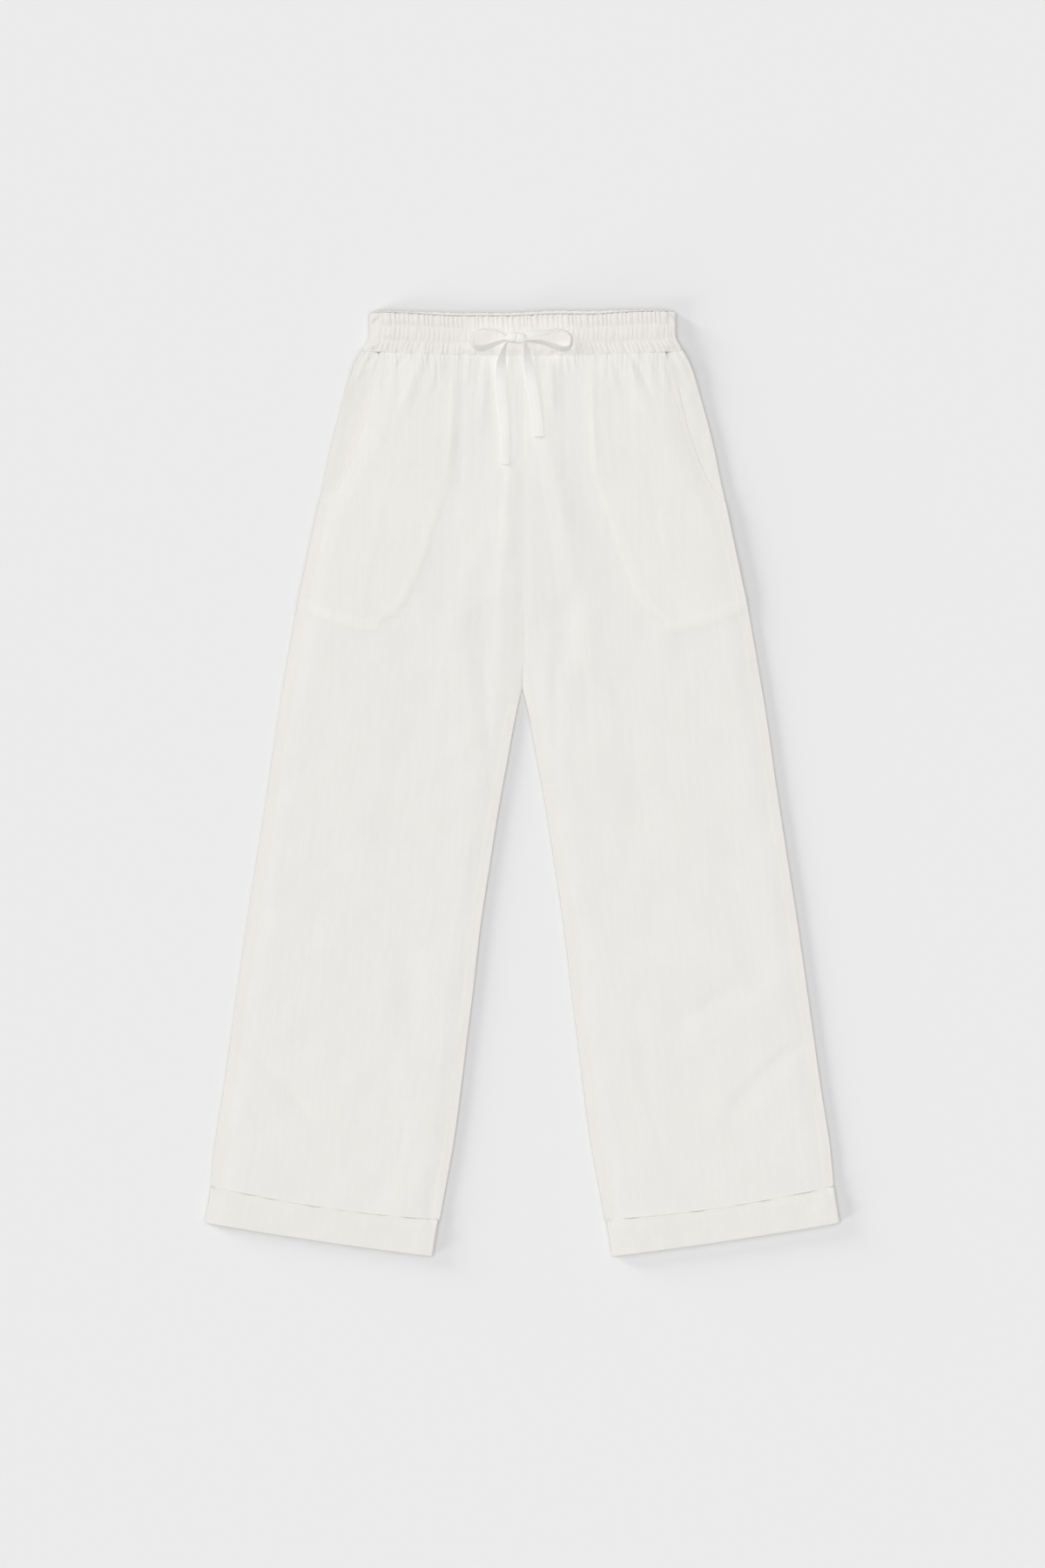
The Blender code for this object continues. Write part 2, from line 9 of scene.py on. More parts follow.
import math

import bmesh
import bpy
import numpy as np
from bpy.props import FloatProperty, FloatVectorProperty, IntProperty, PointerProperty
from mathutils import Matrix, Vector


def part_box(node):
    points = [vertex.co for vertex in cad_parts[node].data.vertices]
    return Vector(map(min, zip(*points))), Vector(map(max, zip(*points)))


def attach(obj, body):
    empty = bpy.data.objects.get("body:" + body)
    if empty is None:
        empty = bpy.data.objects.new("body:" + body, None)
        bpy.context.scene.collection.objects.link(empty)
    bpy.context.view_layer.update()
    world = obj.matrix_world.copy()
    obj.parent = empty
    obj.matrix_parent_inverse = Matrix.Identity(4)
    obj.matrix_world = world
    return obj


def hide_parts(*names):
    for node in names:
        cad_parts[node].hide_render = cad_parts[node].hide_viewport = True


bl_info = {
    "name": "Linen drawstring trousers",
    "version": (1, 0, 0),
    "blender": (4, 5, 0),
    "location": "View3D > Sidebar > Trousers",
    "description": "Dresses a packed pair of linen drawstring trousers that lie flat",
    "category": "Add Mesh",
}

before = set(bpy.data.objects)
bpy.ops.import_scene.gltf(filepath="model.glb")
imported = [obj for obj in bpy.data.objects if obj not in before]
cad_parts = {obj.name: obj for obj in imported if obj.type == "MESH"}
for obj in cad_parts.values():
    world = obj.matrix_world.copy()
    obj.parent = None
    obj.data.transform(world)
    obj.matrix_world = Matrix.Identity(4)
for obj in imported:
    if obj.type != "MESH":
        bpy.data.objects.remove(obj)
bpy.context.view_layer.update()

SIDES = (("left", 1), ("right", -1))
TAU = math.tau


def metres(table):
    """A table of sizes in millimetres, in metres."""
    if isinstance(table, dict):
        return {side: metres(rows) for side, rows in table.items()}
    return tuple(metres(entry) for entry in table) if isinstance(table, tuple) else table / 1000


# ---------------------------------------------------------------- the garment's own sizes

SEAM_GAP = 0.0003                                # the solids keep this clear of each other
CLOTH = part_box("back_left")[1].z                 # a layer of cloth in the solids
LAYER = CLOTH + SEAM_GAP
SEAM_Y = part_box("back_left")[1].y + SEAM_GAP     # the waist seam
SEAM_IN_VIEW = 0.4662           # its height above the middle of the view
FLOOR_GAP = 0.0002              # the floor lies this far below the cloth
PAST_TAPE = 0.65                # share of the dome's light that the thin tape doesn't block

# Waistband
BAND_HALF = 0.1655              # half its width, and at its foot
BAND_FOOT_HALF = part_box("waistband")[1].x
BAND_SPREAD = 0.42              # share of its depth where the one turns to the other
BAND_DEPTH = 0.0437
BAND_SIDE_RADIUS = 0.0026
BAND_HEIGHT = 0.0074
BAND_FILL_REACH = 0.022         # it is at its full height this far in from its sides
BAND_TOP_DIP = 0.0008
BAND_STITCHED = 0.155           # half the length of its stitch rows
WAIST_SAG = 0.0046
SOLID_GATHER_HEIGHT = 0.0008
CHANNEL_ROWS = (0.295, 0.69)    # its stitch rows, as shares of its depth
CHANNEL_SINK = 0.0009           # how far they pull it in
CHANNEL_GROOVE = 0.00030        # and how far the stitches themselves sink

# Legs
CROTCH_DROP = 0.363
LEG_OUT_END = 0.8995
LEG_IN_END = 0.9355
HEM_BOW = 0.0052
HEM_BOTTOM_BOW = 0.0016
LEG_PUFF = 0.0021               # how far the front's middle rises above its edges
HIP_PUFF = 0.0028
PUFF_REACH = 0.030
WAIST_LIFT = 0.0022
WAIST_LIFT_REACH = 0.060
WAIST_FULLNESS = 0.35
PUCKER_HEIGHT = 0.0007
PUCKER_PITCH = 0.0150
PUCKER_FADE = 0.045
CENTRE_DIP = 0.55               # share of that rise that the centre seam takes away
CENTRE_DIP_REACH = 0.012

# Front shells
SHELL_PUCKERS = 0.45            # share of the solid's puckers that they keep
SHELL_VALLEY = 0.35             # and of its dip along the centre seam
CREASE_ROUNDING = 0.35          # a crease is round on top for this share of its half width
WAIST_CREASES = 0.008           # a crease that starts above this drop comes out of the seam
BULGE_HEIGHT = 0.0013           # cloth that bulges out between the gathers
BULGE_FADE = 0.0055
PLEAT_HEIGHT = 0.00032          # fine pleats that run down from the waist seam
PLEAT_PITCH = 0.0068
DOUBLED_RISE = 0.00020          # over a seam allowance
FACING_ROWS = ((0.0016, 0.0005), (0.0064, 0.0008))    # in from the pocket's edge, half width
FACING_SINK = 0.00014
OPENING_SINK = 0.0007           # the pocket's edge lies lower than the panel
OPENING_REACH = 0.014
CENTRE_ROLL = 0.00006           # radius of the turn into the centre seam
LEG_ROLL = 0.0011               # and into the inside leg's seam
WAIST_TUCK = 0.0013             # how deep the cloth dips under the waistband and the hem
HEM_TUCK = 0.0012
HEM_DIP = 0.0003

# Backs and hip pieces
BACK_FOLDS = 0.35               # share of the front's folds that a back's folds have
BACK_LIFT = 0.0006              # how far they lift off the table at most
HIP_TUCK = 0.0018               # the hip piece runs under the waistband by this
HIP_TUCK_DEPTH = 0.0007
BACK_CUT = 1.3                  # how far down the cloth each kind of piece is cut
POCKET_CUT = 2.6

# Hems
HEM_SIDE_RADIUS = 0.0023
HEM_HEIGHT = 0.0056
HEM_FILL_REACH = 0.020
HEM_WALL = 0.0018               # the turned-up cloth is double, and thicker than one layer
HEM_STITCHED = 0.0022           # its stitch line lies this far below its top
HEM_TOP_OUT = (0.3362, 0.9000)
HEM_TOP_IN = (0.0905, 0.9360)
HEM_BOTTOM_OUT = (0.3425, 0.9394)
HEM_BOTTOM_IN = (0.0968, 0.9757)

# The tables that metres() turns are given in millimetres.

# Top edge of the waistband: across (+ to the wearer's left), height of the front's edge and
# of the back's above the waist seam
BAND_TOP = metres((
    (-165.5, 40, 41), (-163, 41.4, 42.6), (-150.4, 41.8, 43.6), (-119.4, 40.5, 43),
    (-96.8, 39, 42.4), (-74.3, 37.9, 41.7), (-40.4, 37.8, 41.5), (-9.4, 37.9, 41.7),
    (16, 39.1, 43.2), (38.5, 39.9, 44), (75.2, 39.6, 43.6), (94, 40.8, 44.2), (110.9, 42, 44.7),
    (131.6, 42.8, 44.9), (151, 43.2, 44.9), (162.5, 42.8, 44.2), (165.5, 41.4, 42.4),
))
# Side seam: drop, across
SIDE_SEAM = metres((
    (0, 173.5), (15, 181.4), (38, 188.9), (85, 202.1), (110, 208), (137, 213.4), (165, 219.8),
    (200, 227.2), (235, 234.6), (273, 242.6), (325, 251.9), (391, 262.9), (460, 272.8),
    (532, 283.8), (600, 294.5), (660, 303.2), (720, 311.7), (770, 318.6), (800, 323), (825, 327.1),
    (850, 331), (875, 333.8), (900, 335.7), (925, 337),
))
# Inside leg: drop, across
INSIDE_LEG = metres((
    (363, 0), (390, 6.6), (440, 15.9), (500, 26.6), (560, 36), (610, 43.7), (650, 48.6),
    (690, 53.1), (740, 59.4), (790, 65.5), (840, 72), (875, 77.8), (905, 83.4), (940, 89.8),
))
# Pocket opening: drop, across
POCKET_EDGE = metres((
    (0, 154), (43, 169), (83, 179), (115, 190), (137, 200), (150, 208), (161, 220),
))
# Inner edge of the pocket bag: drop, across
BAG_EDGE = metres((
    (0, 83), (76, 83), (118, 83), (155, 93.5), (189, 105), (220, 114.5), (241, 122.5), (264, 133),
    (280, 146), (291, 164),
))
BAG_SIDE_END = 0.266       # the bag ends here at the side seam
BAG_SHOWS = 0.009          # the bag's edge shows this far out from it through the front
POCKET_BOW = 0.004
RIGHT_BAG_SOFT = 2.5       # how much softer the right bag's edge is near the waist

# Largest folds of the front, by the wearer's side: start and end (across, drop), half width,
# height (a ridge above zero, a trough below)
FOLDS = metres({
    "both": (
        (74, 10, 81, 125, 6.5, 0.3), (96, 6, 100, 40, 5, 0.9), (40, 275, 47, 345, 12, -0.6),
        (72, 280, 66, 350, 15, 1.2), (110, 330, 130, 520, 22, -1), (170, 450, 190, 660, 25, 0.8),
        (299, 745, 222, 825, 10, -1.2),
    ),
    "left": (
        (113, 4, 136, 62, 6, 1.2), (100, 10, 119, 60, 6, -0.6), (31, 10, 33, 60, 6, 1),
        (40, 275, 47, 345, 12, -1), (228, 683, 166, 724, 12, -0.9),
    ),
    "right": (
        (106, 4, 128, 62, 6, 0.9), (41, 10, 46, 80, 6, 1), (31, 270, 36, 335, 10, -1.3),
        (120, 640, 118, 760, 15, -0.9),
    ),
})
# Smaller folds that only the shells have, in the same columns
SMALL_FOLDS = metres({
    "both": (
        (149, 2, 158, 38, 3, 0.6), (134, 2, 140, 24, 2.8, 0.5), (114.5, 0, 121, 30, 2.4, 0.7),
        (87, 0, 88, 26, 2.6, 0.5), (4, 10, 5, 110, 3, 0.4), (60, 420, 120, 470, 9, 0.5),
        (312, 800, 268, 868, 6, 0.5), (96.5, 880, 99, 935, 6, -0.4),
    ),
    "left": (
        (64, 0, 63, 34, 2.6, 0.4), (47, 4, 49, 20, 2.4, 0.5), (18, 0, 17, 70, 3, 0.4),
        (50, 262, 56, 330, 11, -1.2), (90, 60, 96, 130, 5, 0.4), (34, 335, 37, 430, 6, -0.7),
        (48, 320, 52, 420, 7, 0.6), (66, 330, 71, 420, 5, -0.5), (90, 340, 98, 430, 8, 0.5),
        (165, 310, 190, 390, 9, -0.5), (136, 120, 150, 220, 6, -0.4), (262, 690, 200, 742, 5, 0.5),
        (120, 700, 150, 860, 8, -0.5),
    ),
    "right": (
        (58, 0, 60, 30, 2.8, 0.5), (28, 0, 30, 48, 3, 0.4), (44, 195, 73, 300, 13, 1.2),
        (62, 60, 70, 170, 5, -0.3), (42, 330, 36, 430, 6, -0.7), (60, 320, 52, 420, 7, 0.6),
        (78, 335, 80, 430, 6, -0.5), (150, 150, 170, 260, 7, 0.4), (305, 708, 286, 722, 4, -0.6),
        (270, 770, 230, 800, 4.5, 0.6), (150, 820, 158, 920, 15, -0.4),
    ),
})
# Folds of the hip piece that shows in the pocket opening
POCKET_FOLDS = metres({
    "both": (
        (164, 0, 179, 30, 3, 0.8), (157, 4, 166, 40, 2.6, 0.6),
    ),
    "left": (
        (176, 40, 190, 80, 4.5, 0.5),
    ),
    "right": (
        (180, 30, 192, 90, 5, -0.5),
    ),
})
# Sharp creases that only the shells have, by the wearer's side: half width on the outer side
# and on the inner side, height (a ridge above zero, a valley below), places (across, drop).
# A place with across below zero lies past the centre seam.
CREASES = metres({
    "left": (
        (30, 12, 4.5, ((-12.5, 90), (-14.5, 135), (-18, 189), (-21.5, 250), (-25, 298),
                       (-27.5, 330))),
        (8, 2.6, 1.3, ((101, 0), (104, 8), (116, 28), (126.5, 49), (144, 78))),
        (2.6, 4, -0.5, ((119.4, 1.6), (129.7, 24.5), (139.1, 43.8), (147.6, 61.1))),
        (4, 2.2, 0.6, ((120.3, 1.6), (130.7, 10.5), (141.9, 21.3))),
        (6, 2.6, 1.1, ((72.5, 20), (74.3, 49), (77.1, 92.7), (79.5, 118), (83, 140))),
        (7, 2.6, 1, ((31, 6.8), (32.9, 44.5), (34.8, 78.3))),
        (28, 14, 4.6, ((25, 65), (30.1, 107), (39.5, 155), (47.5, 198), (59.2, 247), (82, 315))),
        (2.4, 2.4, 0.7, ((54.5, 2.5), (59.2, 17.6), (63.9, 32.7))),
        (6, 6, -0.8, ((9.4, 76.3), (17.9, 123.3), (24, 160.9), (32.5, 217.4), (40, 273.9),
                      (45, 305))),
        (1, 1, -0.5, ((1, 278), (3, 315), (4.5, 350))),
        (1.1, 1.1, -0.9, ((15, 420), (19.2, 450), (28.4, 500), (37.8, 560), (44, 600))),
        (2.8, 2.8, -1, ((298.9, 745.4), (263.2, 771.7), (235, 799.9), (216.2, 826.3))),
        (3.6, 3.6, -0.9, ((228.4, 683.4), (199.3, 701.2), (166.4, 723.8))),
    ),
    "right": (
        (2.6, 9, 1.2, ((108, 0), (113, 15), (121.5, 35), (131.5, 59), (139, 78))),
        (2.4, 2.4, -0.6, ((125, 2.7), (136.3, 16.4), (143.8, 29))),
        (2.6, 12, 1.2, ((74.5, 20), (75.7, 38.6), (77, 87), (80, 118), (83, 140))),
        (4.2, 4.2, -0.5, ((68, 58.2), (70, 105.3), (74.3, 139.2))),
        (3, 3, -0.6, ((46.1, 4.2), (47.9, 20.2), (49.8, 50.3))),
        (2.5, 2.5, 0.7, ((93.1, 2.5), (94.9, 21.4), (96.8, 42.1))),
        (3, 4.5, -0.7, ((17.9, 72.5), (20.7, 112), (23.5, 152.5), (27.3, 203.3), (32, 243.7))),
        (12, 30, 4.5, ((12.5, 90), (14.5, 135), (18, 189), (21.5, 250), (25, 298), (27.5, 330))),
        (1.8, 1.8, -0.4, ((4.7, 21.7), (4.7, 52.7), (3.8, 83.8))),
        (4, 4, -0.6, ((43, 268), (45, 285), (47, 300))),
        (2.6, 10, -1.2, ((296.1, 745.4), (263.2, 774.6), (239.7, 806.5), (223.7, 832.8))),
        (2.6, 8, -0.8, ((289.5, 699.4), (276.4, 714.4))),
        (4.5, 4.5, -0.7, ((127, 829), (134, 875))),
    ),
})
# Creases that fan out over the hip piece from the top of the pocket opening
POCKET_CREASES = metres({
    "both": (
        (1.4, 1.4, -1.1, ((151.6, 0), (162.6, 2.7), (173.3, 7.1))),
        (1.4, 1.4, -1.1, ((152.1, 0), (159.8, 5.3), (167.3, 11.9), (173, 18.8))),
        (1.2, 1.2, -0.9, ((165.4, 0), (170.1, 2.8), (174.8, 8.5))),
    ),
})
# Creases at the ends of the waistband, in the folds' columns, with the height above the
# waist seam in place of the drop
BAND_CREASES = metres({
    "both": (
        (164, 34.96, 153, 42.826, 2, 0.9), (164, 26.22, 156, 37.582, 2, -0.8),
        (166, 0.874, 154, 11.362, 2.6, 1), (169, 9.614, 160, 21.85, 2.4, -0.8),
        (148, 15.732, 138, 27.094, 2.6, 0.5),
    ),
})

# The tape's stretches, as for its solids. A row is one place on its centre line: across
# from the centre line (+ to the wearer's left), drop from the waist seam, height above
# what lies under it, roll of the tape (0 lies flat, 90 stands on edge), share of its width.
TAIL_RIGHT = (
    (-0.0180, -0.0072, 0.0048, 80, 0.72), (-0.0203, 0.0000, 0.0047, 58, 0.86),
    (-0.0223, 0.0095, 0.0036, 30, 1.0), (-0.0231, 0.0190, 0.0022, 10, 1.0),
    (-0.0231, 0.0340, 0.0016, 0, 1.0), (-0.0218, 0.0520, 0.0016, 0, 1.0),
    (-0.0198, 0.0700, 0.0016, 0, 0.97), (-0.0182, 0.0900, 0.0017, 4, 0.86),
    (-0.0182, 0.1080, 0.0018, 6, 0.78), (-0.0183, 0.1225, 0.0016, 0, 0.74),
)
TAIL_LEFT = (
    (0.0030, -0.0070, 0.0046, 62, 0.78), (0.0048, 0.0030, 0.0040, 36, 0.92),
    (0.0070, 0.0150, 0.0026, 12, 1.0), (0.0092, 0.0280, 0.0017, 0, 1.0),
    (0.0115, 0.0410, 0.0016, 0, 1.0), (0.0141, 0.0560, 0.0016, 0, 1.0),
    (0.0160, 0.0720, 0.0016, 0, 1.0), (0.0172, 0.0930, 0.0016, 0, 1.08),
)
LOOP_RIGHT = (
    (-0.0195, -0.0172, 0.0048, 92, 0.80), (-0.0240, -0.0210, 0.0048, 96, 0.80),
    (-0.0330, -0.0230, 0.0048, 100, 0.80), (-0.0420, -0.0229, 0.0047, 103, 0.80),
    (-0.0500, -0.0202, 0.0047, 106, 0.80), (-0.0540, -0.0150, 0.0046, 110, 0.80),
    (-0.0540, -0.0085, 0.0046, 115, 0.82), (-0.0498, -0.0038, 0.0045, 122, 0.84),
    (-0.0425, -0.0030, 0.0045, 127, 0.86), (-0.0340, -0.0054, 0.0045, 125, 0.84),
    (-0.0260, -0.0086, 0.0046, 115, 0.80), (-0.0196, -0.0108, 0.0047, 100, 0.78),
)
LOOP_LEFT = (
    (0.0052, -0.0164, 0.0040, 36, 0.86), (0.0115, -0.0184, 0.0041, 37, 0.92),
    (0.0205, -0.0194, 0.0043, 46, 0.88), (0.0300, -0.0211, 0.0046, 62, 0.82),
    (0.0385, -0.0224, 0.0047, 74, 0.80), (0.0460, -0.0210, 0.0047, 75, 0.80),
    (0.0515, -0.0160, 0.0047, 73, 0.80), (0.0528, -0.0098, 0.0046, 68, 0.80),
    (0.0505, -0.0040, 0.0046, 62, 0.80), (0.0450, -0.0019, 0.0045, 57, 0.82),
    (0.0375, -0.0036, 0.0045, 56, 0.82), (0.0285, -0.0072, 0.0045, 58, 0.80),
    (0.0180, -0.0100, 0.0046, 66, 0.78), (0.0053, -0.0106, 0.0047, 84, 0.76),
)
# Inside the knot the tape is squeezed: before each loop, and from each loop to its tail
INTO_LOOP_RIGHT = ((-0.0110, -0.0140, 0.0042, 74, 0.55), (-0.0155, -0.0152, 0.0046, 82, 0.62))
INTO_LOOP_LEFT = ((-0.0040, -0.0140, 0.0042, 60, 0.55), (0.0005, -0.0152, 0.0040, 44, 0.66))
INTO_TAIL_RIGHT = ((-0.0160, -0.0106, 0.0046, 84, 0.60),)
INTO_TAIL_LEFT = ((0.0008, -0.0098, 0.0046, 74, 0.60),)

KNOT_PLACE = (-0.0072, -0.0138)    # across, drop of the middle of the knot
KNOT_SIZE = (0.0236, 0.0122, 0.0088)
KNOT_BLUNT = 2.8                   # the higher, the blunter its ends
TAPE_STEPS = 8                     # steps from one row to the next
TAPE_SIDES = 24
TAPE_FLATNESS = 0.45               # the lower, the squarer its edges
# Each half of the bow from the knot to its free end, how much thicker its finished end is,
# and the seed of its crumple
TAPES = (
    ("left", INTO_LOOP_LEFT + LOOP_LEFT + INTO_TAIL_LEFT + TAIL_LEFT, 0.30, 111),
    ("right", INTO_LOOP_RIGHT + LOOP_RIGHT + INTO_TAIL_RIGHT + TAIL_RIGHT, 0.75, 121),
)

# ---------------------------------------------------------------- settings


def linear(code):
    """Linear RGB of an sRGB hex colour."""
    channels = [int(code[i:i + 2], 16) / 255 for i in (1, 3, 5)]
    return [c / 12.92 if c <= 0.04045 else ((c + 0.055) / 1.055) ** 2.4 for c in channels]


def length_setting(name, description, default):
    return FloatProperty(name=name, description=description, default=default,
                         unit="LENGTH", precision=5, min=0.0)


def strength_setting(name, description, default):
    return FloatProperty(name=name, description=description, default=default, min=0.0)


def colour_setting(name, description, code):
    return FloatVectorProperty(name=name, description=description, default=linear(code),
                               size=3, subtype="COLOR", min=0.0, max=1.0)


class LinenSettings(bpy.types.PropertyGroup):
    """Sizes and colours of the cloth"""
    wall: length_setting("Cloth", "Thickness of one layer of cloth", 0.0007)
    edge_roll: length_setting("Seam roll", "Radius of the front's turn into a side seam", 0.0006)
    back_roll: length_setting("Back roll", "Radius of the back's turn into a side seam", 0.0013)
    fold_roll: length_setting("Fold roll", "Radius of the pocket's folded edge", 0.0007)
    tuck: length_setting("Tuck", "How far a front runs under the waistband and the hem", 0.0011)
    allowance: length_setting("Seam allowance", "Width of the doubled cloth at a seam", 0.0100)
    crumple: length_setting("Crumple", "Height of the soft unevenness of washed cloth", 0.00022)
    thread_pitch: length_setting("Thread pitch", "Distance between threads as drawn", 0.00075)
    cool: colour_setting("Cool white", "Single cloth on the lower legs", "#e9e8e6")
    warm: colour_setting("Warm white", "Single cloth on the hips and thighs", "#e9e8e4")
    double: colour_setting("Doubled", "Cloth with a seam allowance behind it", "#ebe6e0")
    backed: colour_setting("Backed", "Cloth with the pocket bag behind it", "#eae9e4")
    bag_seam: colour_setting("Bag seam", "Cloth over the bag's seam allowance", "#ecebe5")
    # The hip piece is a shade darker than the fronts: painted shade, as it lies lower in the pocket
    # opening
    inside: colour_setting("Hip piece", "Cloth inside the pocket opening", "#e8e6e0")
    hem: colour_setting("Hem", "Cloth of the turned-up hem", "#e9e7e2")


class WaistbandSettings(bpy.types.PropertyGroup):
    """Sizes and colour of the gathered waistband"""
    gathers: IntProperty(name="Gathers", description="Gathers across the front", default=62,
                         min=10, max=120)
    height: length_setting("Gather height", "Crest of a gather above the mean", 0.00070)
    wall: length_setting("Casing", "Thickness of the doubled casing", 0.0020)
    edge: length_setting("Edge", "Thickness of the casing at its edges and back", 0.0011)
    curl: length_setting("Curl", "How far the back's top edge stands up", 0.0038)
    ruffle: length_setting("Ruffle", "Unevenness of the top edges", 0.00045)
    colour: colour_setting("Colour", "Cloth of the waistband", "#e8e5e1")


class DrawstringSettings(bpy.types.PropertyGroup):
    """Sizes and colour of the drawstring"""
    width: length_setting("Width", "Width of the tape", 0.0105)
    thickness: length_setting("Thickness", "Thickness of the tape", 0.0016)
    colour: colour_setting("Colour", "Cloth of the tape", "#efeeeb")


class StitchSettings(bpy.types.PropertyGroup):
    """Sizes and colour of the stitches"""
    pitch: length_setting("Pitch", "Distance from one stitch to the next", 0.0029)
    length: length_setting("Length", "Length of one stitch", 0.0022)
    thread: length_setting("Thread", "Thickness of the thread", 0.00042)
    seed: IntProperty(name="Seed", description="Seed of the stitches' small turns", default=4)
    colour: colour_setting("Colour", "Cotton thread", "#ecebe6")


class StageSettings(bpy.types.PropertyGroup):
    """Floor, lights and camera"""
    floor: colour_setting("Floor", "Paper under the garment", "#dadada")
    backdrop: colour_setting("Backdrop", "Paper beyond the floor", "#e6e6e6")
    dome: strength_setting("Dome", "Strength of the very wide lamp on the cloth", 2.515)
    overhead: strength_setting("Overhead", "Strength of the wide lamp on the floor", 2.655)
    key: strength_setting("Key", "Strength of the soft lamp at the upper left", 0.80)
    skim: strength_setting("Skim", "Light of each low lamp that meets the floor", 0.38)
    ambient: strength_setting("Ambient", "Strength of the room's light", 0.10)
    camera_height: length_setting("Camera height", "Height of the camera", 3.995)
    lens: FloatProperty(name="Lens", description="Focal length in millimetres", default=85.0)


class TrousersSettings(bpy.types.PropertyGroup):
    """All the settings of the trousers"""
    linen: PointerProperty(type=LinenSettings)
    waistband: PointerProperty(type=WaistbandSettings)
    drawstring: PointerProperty(type=DrawstringSettings)
    stitches: PointerProperty(type=StitchSettings)
    stage: PointerProperty(type=StageSettings)


# ---------------------------------------------------------------- measuring helpers


def blend(low, high, position):
    """0 below low, 1 above high, a smooth step between."""
    t = np.clip((position - low) / (high - low), 0.0, 1.0)
    return t * t * (3 - 2 * t)


def mix(a, b, t):
    return a + (b - a) * t


def bell(distance, width):
    """1 on a line and next to nothing two widths away from it."""
    return np.exp(-(distance / width) ** 2)


def bow(share):
    """A shallow arc over a stretch: 0 at its ends, 1 halfway."""
    return 4 * share * (1 - share)


def unit(vectors):
    return vectors / np.maximum(np.linalg.norm(vectors, axis=-1, keepdims=True), 1e-9)


def distance_along(points):
    """Distance along a line at each of its points."""
    steps = np.linalg.norm(np.diff(points, axis=0), axis=-1)
    return np.concatenate([[0.0], np.cumsum(steps)])


def smooth_lookup(rows, position):
    """Values at positions on the smooth curve through rows of (position, value)."""
    places, values = np.array(rows).T
    wide_places = np.concatenate([places[:1], places, places[-1:]])
    wide_values = np.concatenate([values[:1], values, values[-1:]])
    slopes = (wide_values[2:] - wide_values[:-2]) / (wide_places[2:] - wide_places[:-2])
    start = np.clip(np.searchsorted(places, position, side="right") - 1, 0, len(places) - 2)
    span = places[start + 1] - places[start]
    t = np.clip((position - places[start]) / span, 0.0, 1.0)
    return (values[start] * (1 + 2 * t) * (1 - t) ** 2 + slopes[start] * span * t * (1 - t) ** 2
            + values[start + 1] * t * t * (3 - 2 * t) + slopes[start + 1] * span * t * t * (t - 1))


def smooth_route(rows, steps):
    """The rows of a table and steps - 1 smooth rows between each two of them."""
    table = np.array(rows)
    last = len(table) - 1
    found = []
    for i in range(last):
        p0, p1, p2, p3 = table[max(i - 1, 0)], table[i], table[i + 1], table[min(i + 2, last)]
        for t in np.arange(steps) / steps:
            found.append(0.5 * (2 * p1 + (p2 - p0) * t + (2 * p0 - 5 * p1 + 4 * p2 - p3) * t ** 2
                                + (3 * p1 - p0 - 3 * p2 + p3) * t ** 3))
    found.append(table[last])
    return np.array(found)


def wander(position, wavelength, seed):
    """A smooth wander between about -1 and 1 along a line."""
    rng = np.random.default_rng(seed)
    total = 0.0
    for share in (1.0, 0.62, 0.41):
        total += np.sin(TAU * position / (wavelength * share) + rng.uniform(0, TAU))
    return total / 2.2


def ripple(across, drop, wavelength, seed, waves=14):
    """A smooth uneven field of about -1 to 1 over a surface."""
    rng = np.random.default_rng(seed)
    total = 0.0
    for _ in range(waves):
        angle = rng.uniform(0, TAU)
        pace = TAU / (wavelength * rng.uniform(0.7, 1.6))
        phase = pace * (across * math.cos(angle) + drop * math.sin(angle))
        total += np.sin(phase + rng.uniform(0, TAU))
    return total / math.sqrt(waves)


def rolled(distance, radius):
    """How far a rounded edge has fallen at a distance in from it."""
    inside = np.clip(distance / radius, 0.0, 1.0)
    return radius * (1 - np.sqrt(np.clip(1 - (1 - inside) ** 2, 0.0, 1.0)))


def side_seam(drop):
    return smooth_lookup(SIDE_SEAM, drop)


def inside_leg(drop):
    return smooth_lookup(INSIDE_LEG, drop)


def below_crotch(drop):
    return blend(CROTCH_DROP - 0.01, CROTCH_DROP + 0.02, drop)


def front_outer_edge(drop):
    """The front panel's outer edge: the pocket opening, then the side seam."""
    pocket = np.minimum(smooth_lookup(POCKET_EDGE, drop), side_seam(drop))
    return np.where(drop < POCKET_EDGE[-1][0], pocket, side_seam(drop))


def waist_sag(across):
    """How far the front of the waist hangs below the seam's ends."""
    return WAIST_SAG * np.maximum(0.0, 1 - (across / BAND_HALF) ** 2)


# ---------------------------------------------------------------- heights of the form


def waist_lift(drop):
    return WAIST_LIFT * (1 - blend(0.0, WAIST_LIFT_REACH, drop))


def inside_bag(across, drop):
    """Distance in from the pocket bag's outline, below zero outside it."""
    inside = across - smooth_lookup(BAG_EDGE, drop)
    tip_drop, tip_across = BAG_EDGE[-1]
    reach = (across - tip_across) / (side_seam(BAG_SIDE_END) - tip_across)
    reach = np.clip(reach, 0.0, 1.0)
    lower = mix(tip_drop, BAG_SIDE_END, reach) + POCKET_BOW * bow(reach)
    return np.minimum(inside, lower - drop)


def beside(across, drop, start, end):
    """How places lie beside a straight stretch.

    Gives the share of its length that they are level with, their distance from it, and
    whether they are on its outer side.
    """
    run_x, run_d = end[0] - start[0], end[1] - start[1]
    off_x, off_d = across - start[0], drop - start[1]
    along = (off_x * run_x + off_d * run_d) / math.hypot(run_x, run_d) ** 2
    nearest = np.clip(along, 0.0, 1.0)
    offset = np.hypot(off_x - nearest * run_x, off_d - nearest * run_d)
    return along, offset, run_d * off_x > run_x * off_d


def on_side(table, side):
    """The rows of a table for both sides, then those for one."""
    return table.get("both", ()) + (table.get(side, ()) if side != "both" else ())


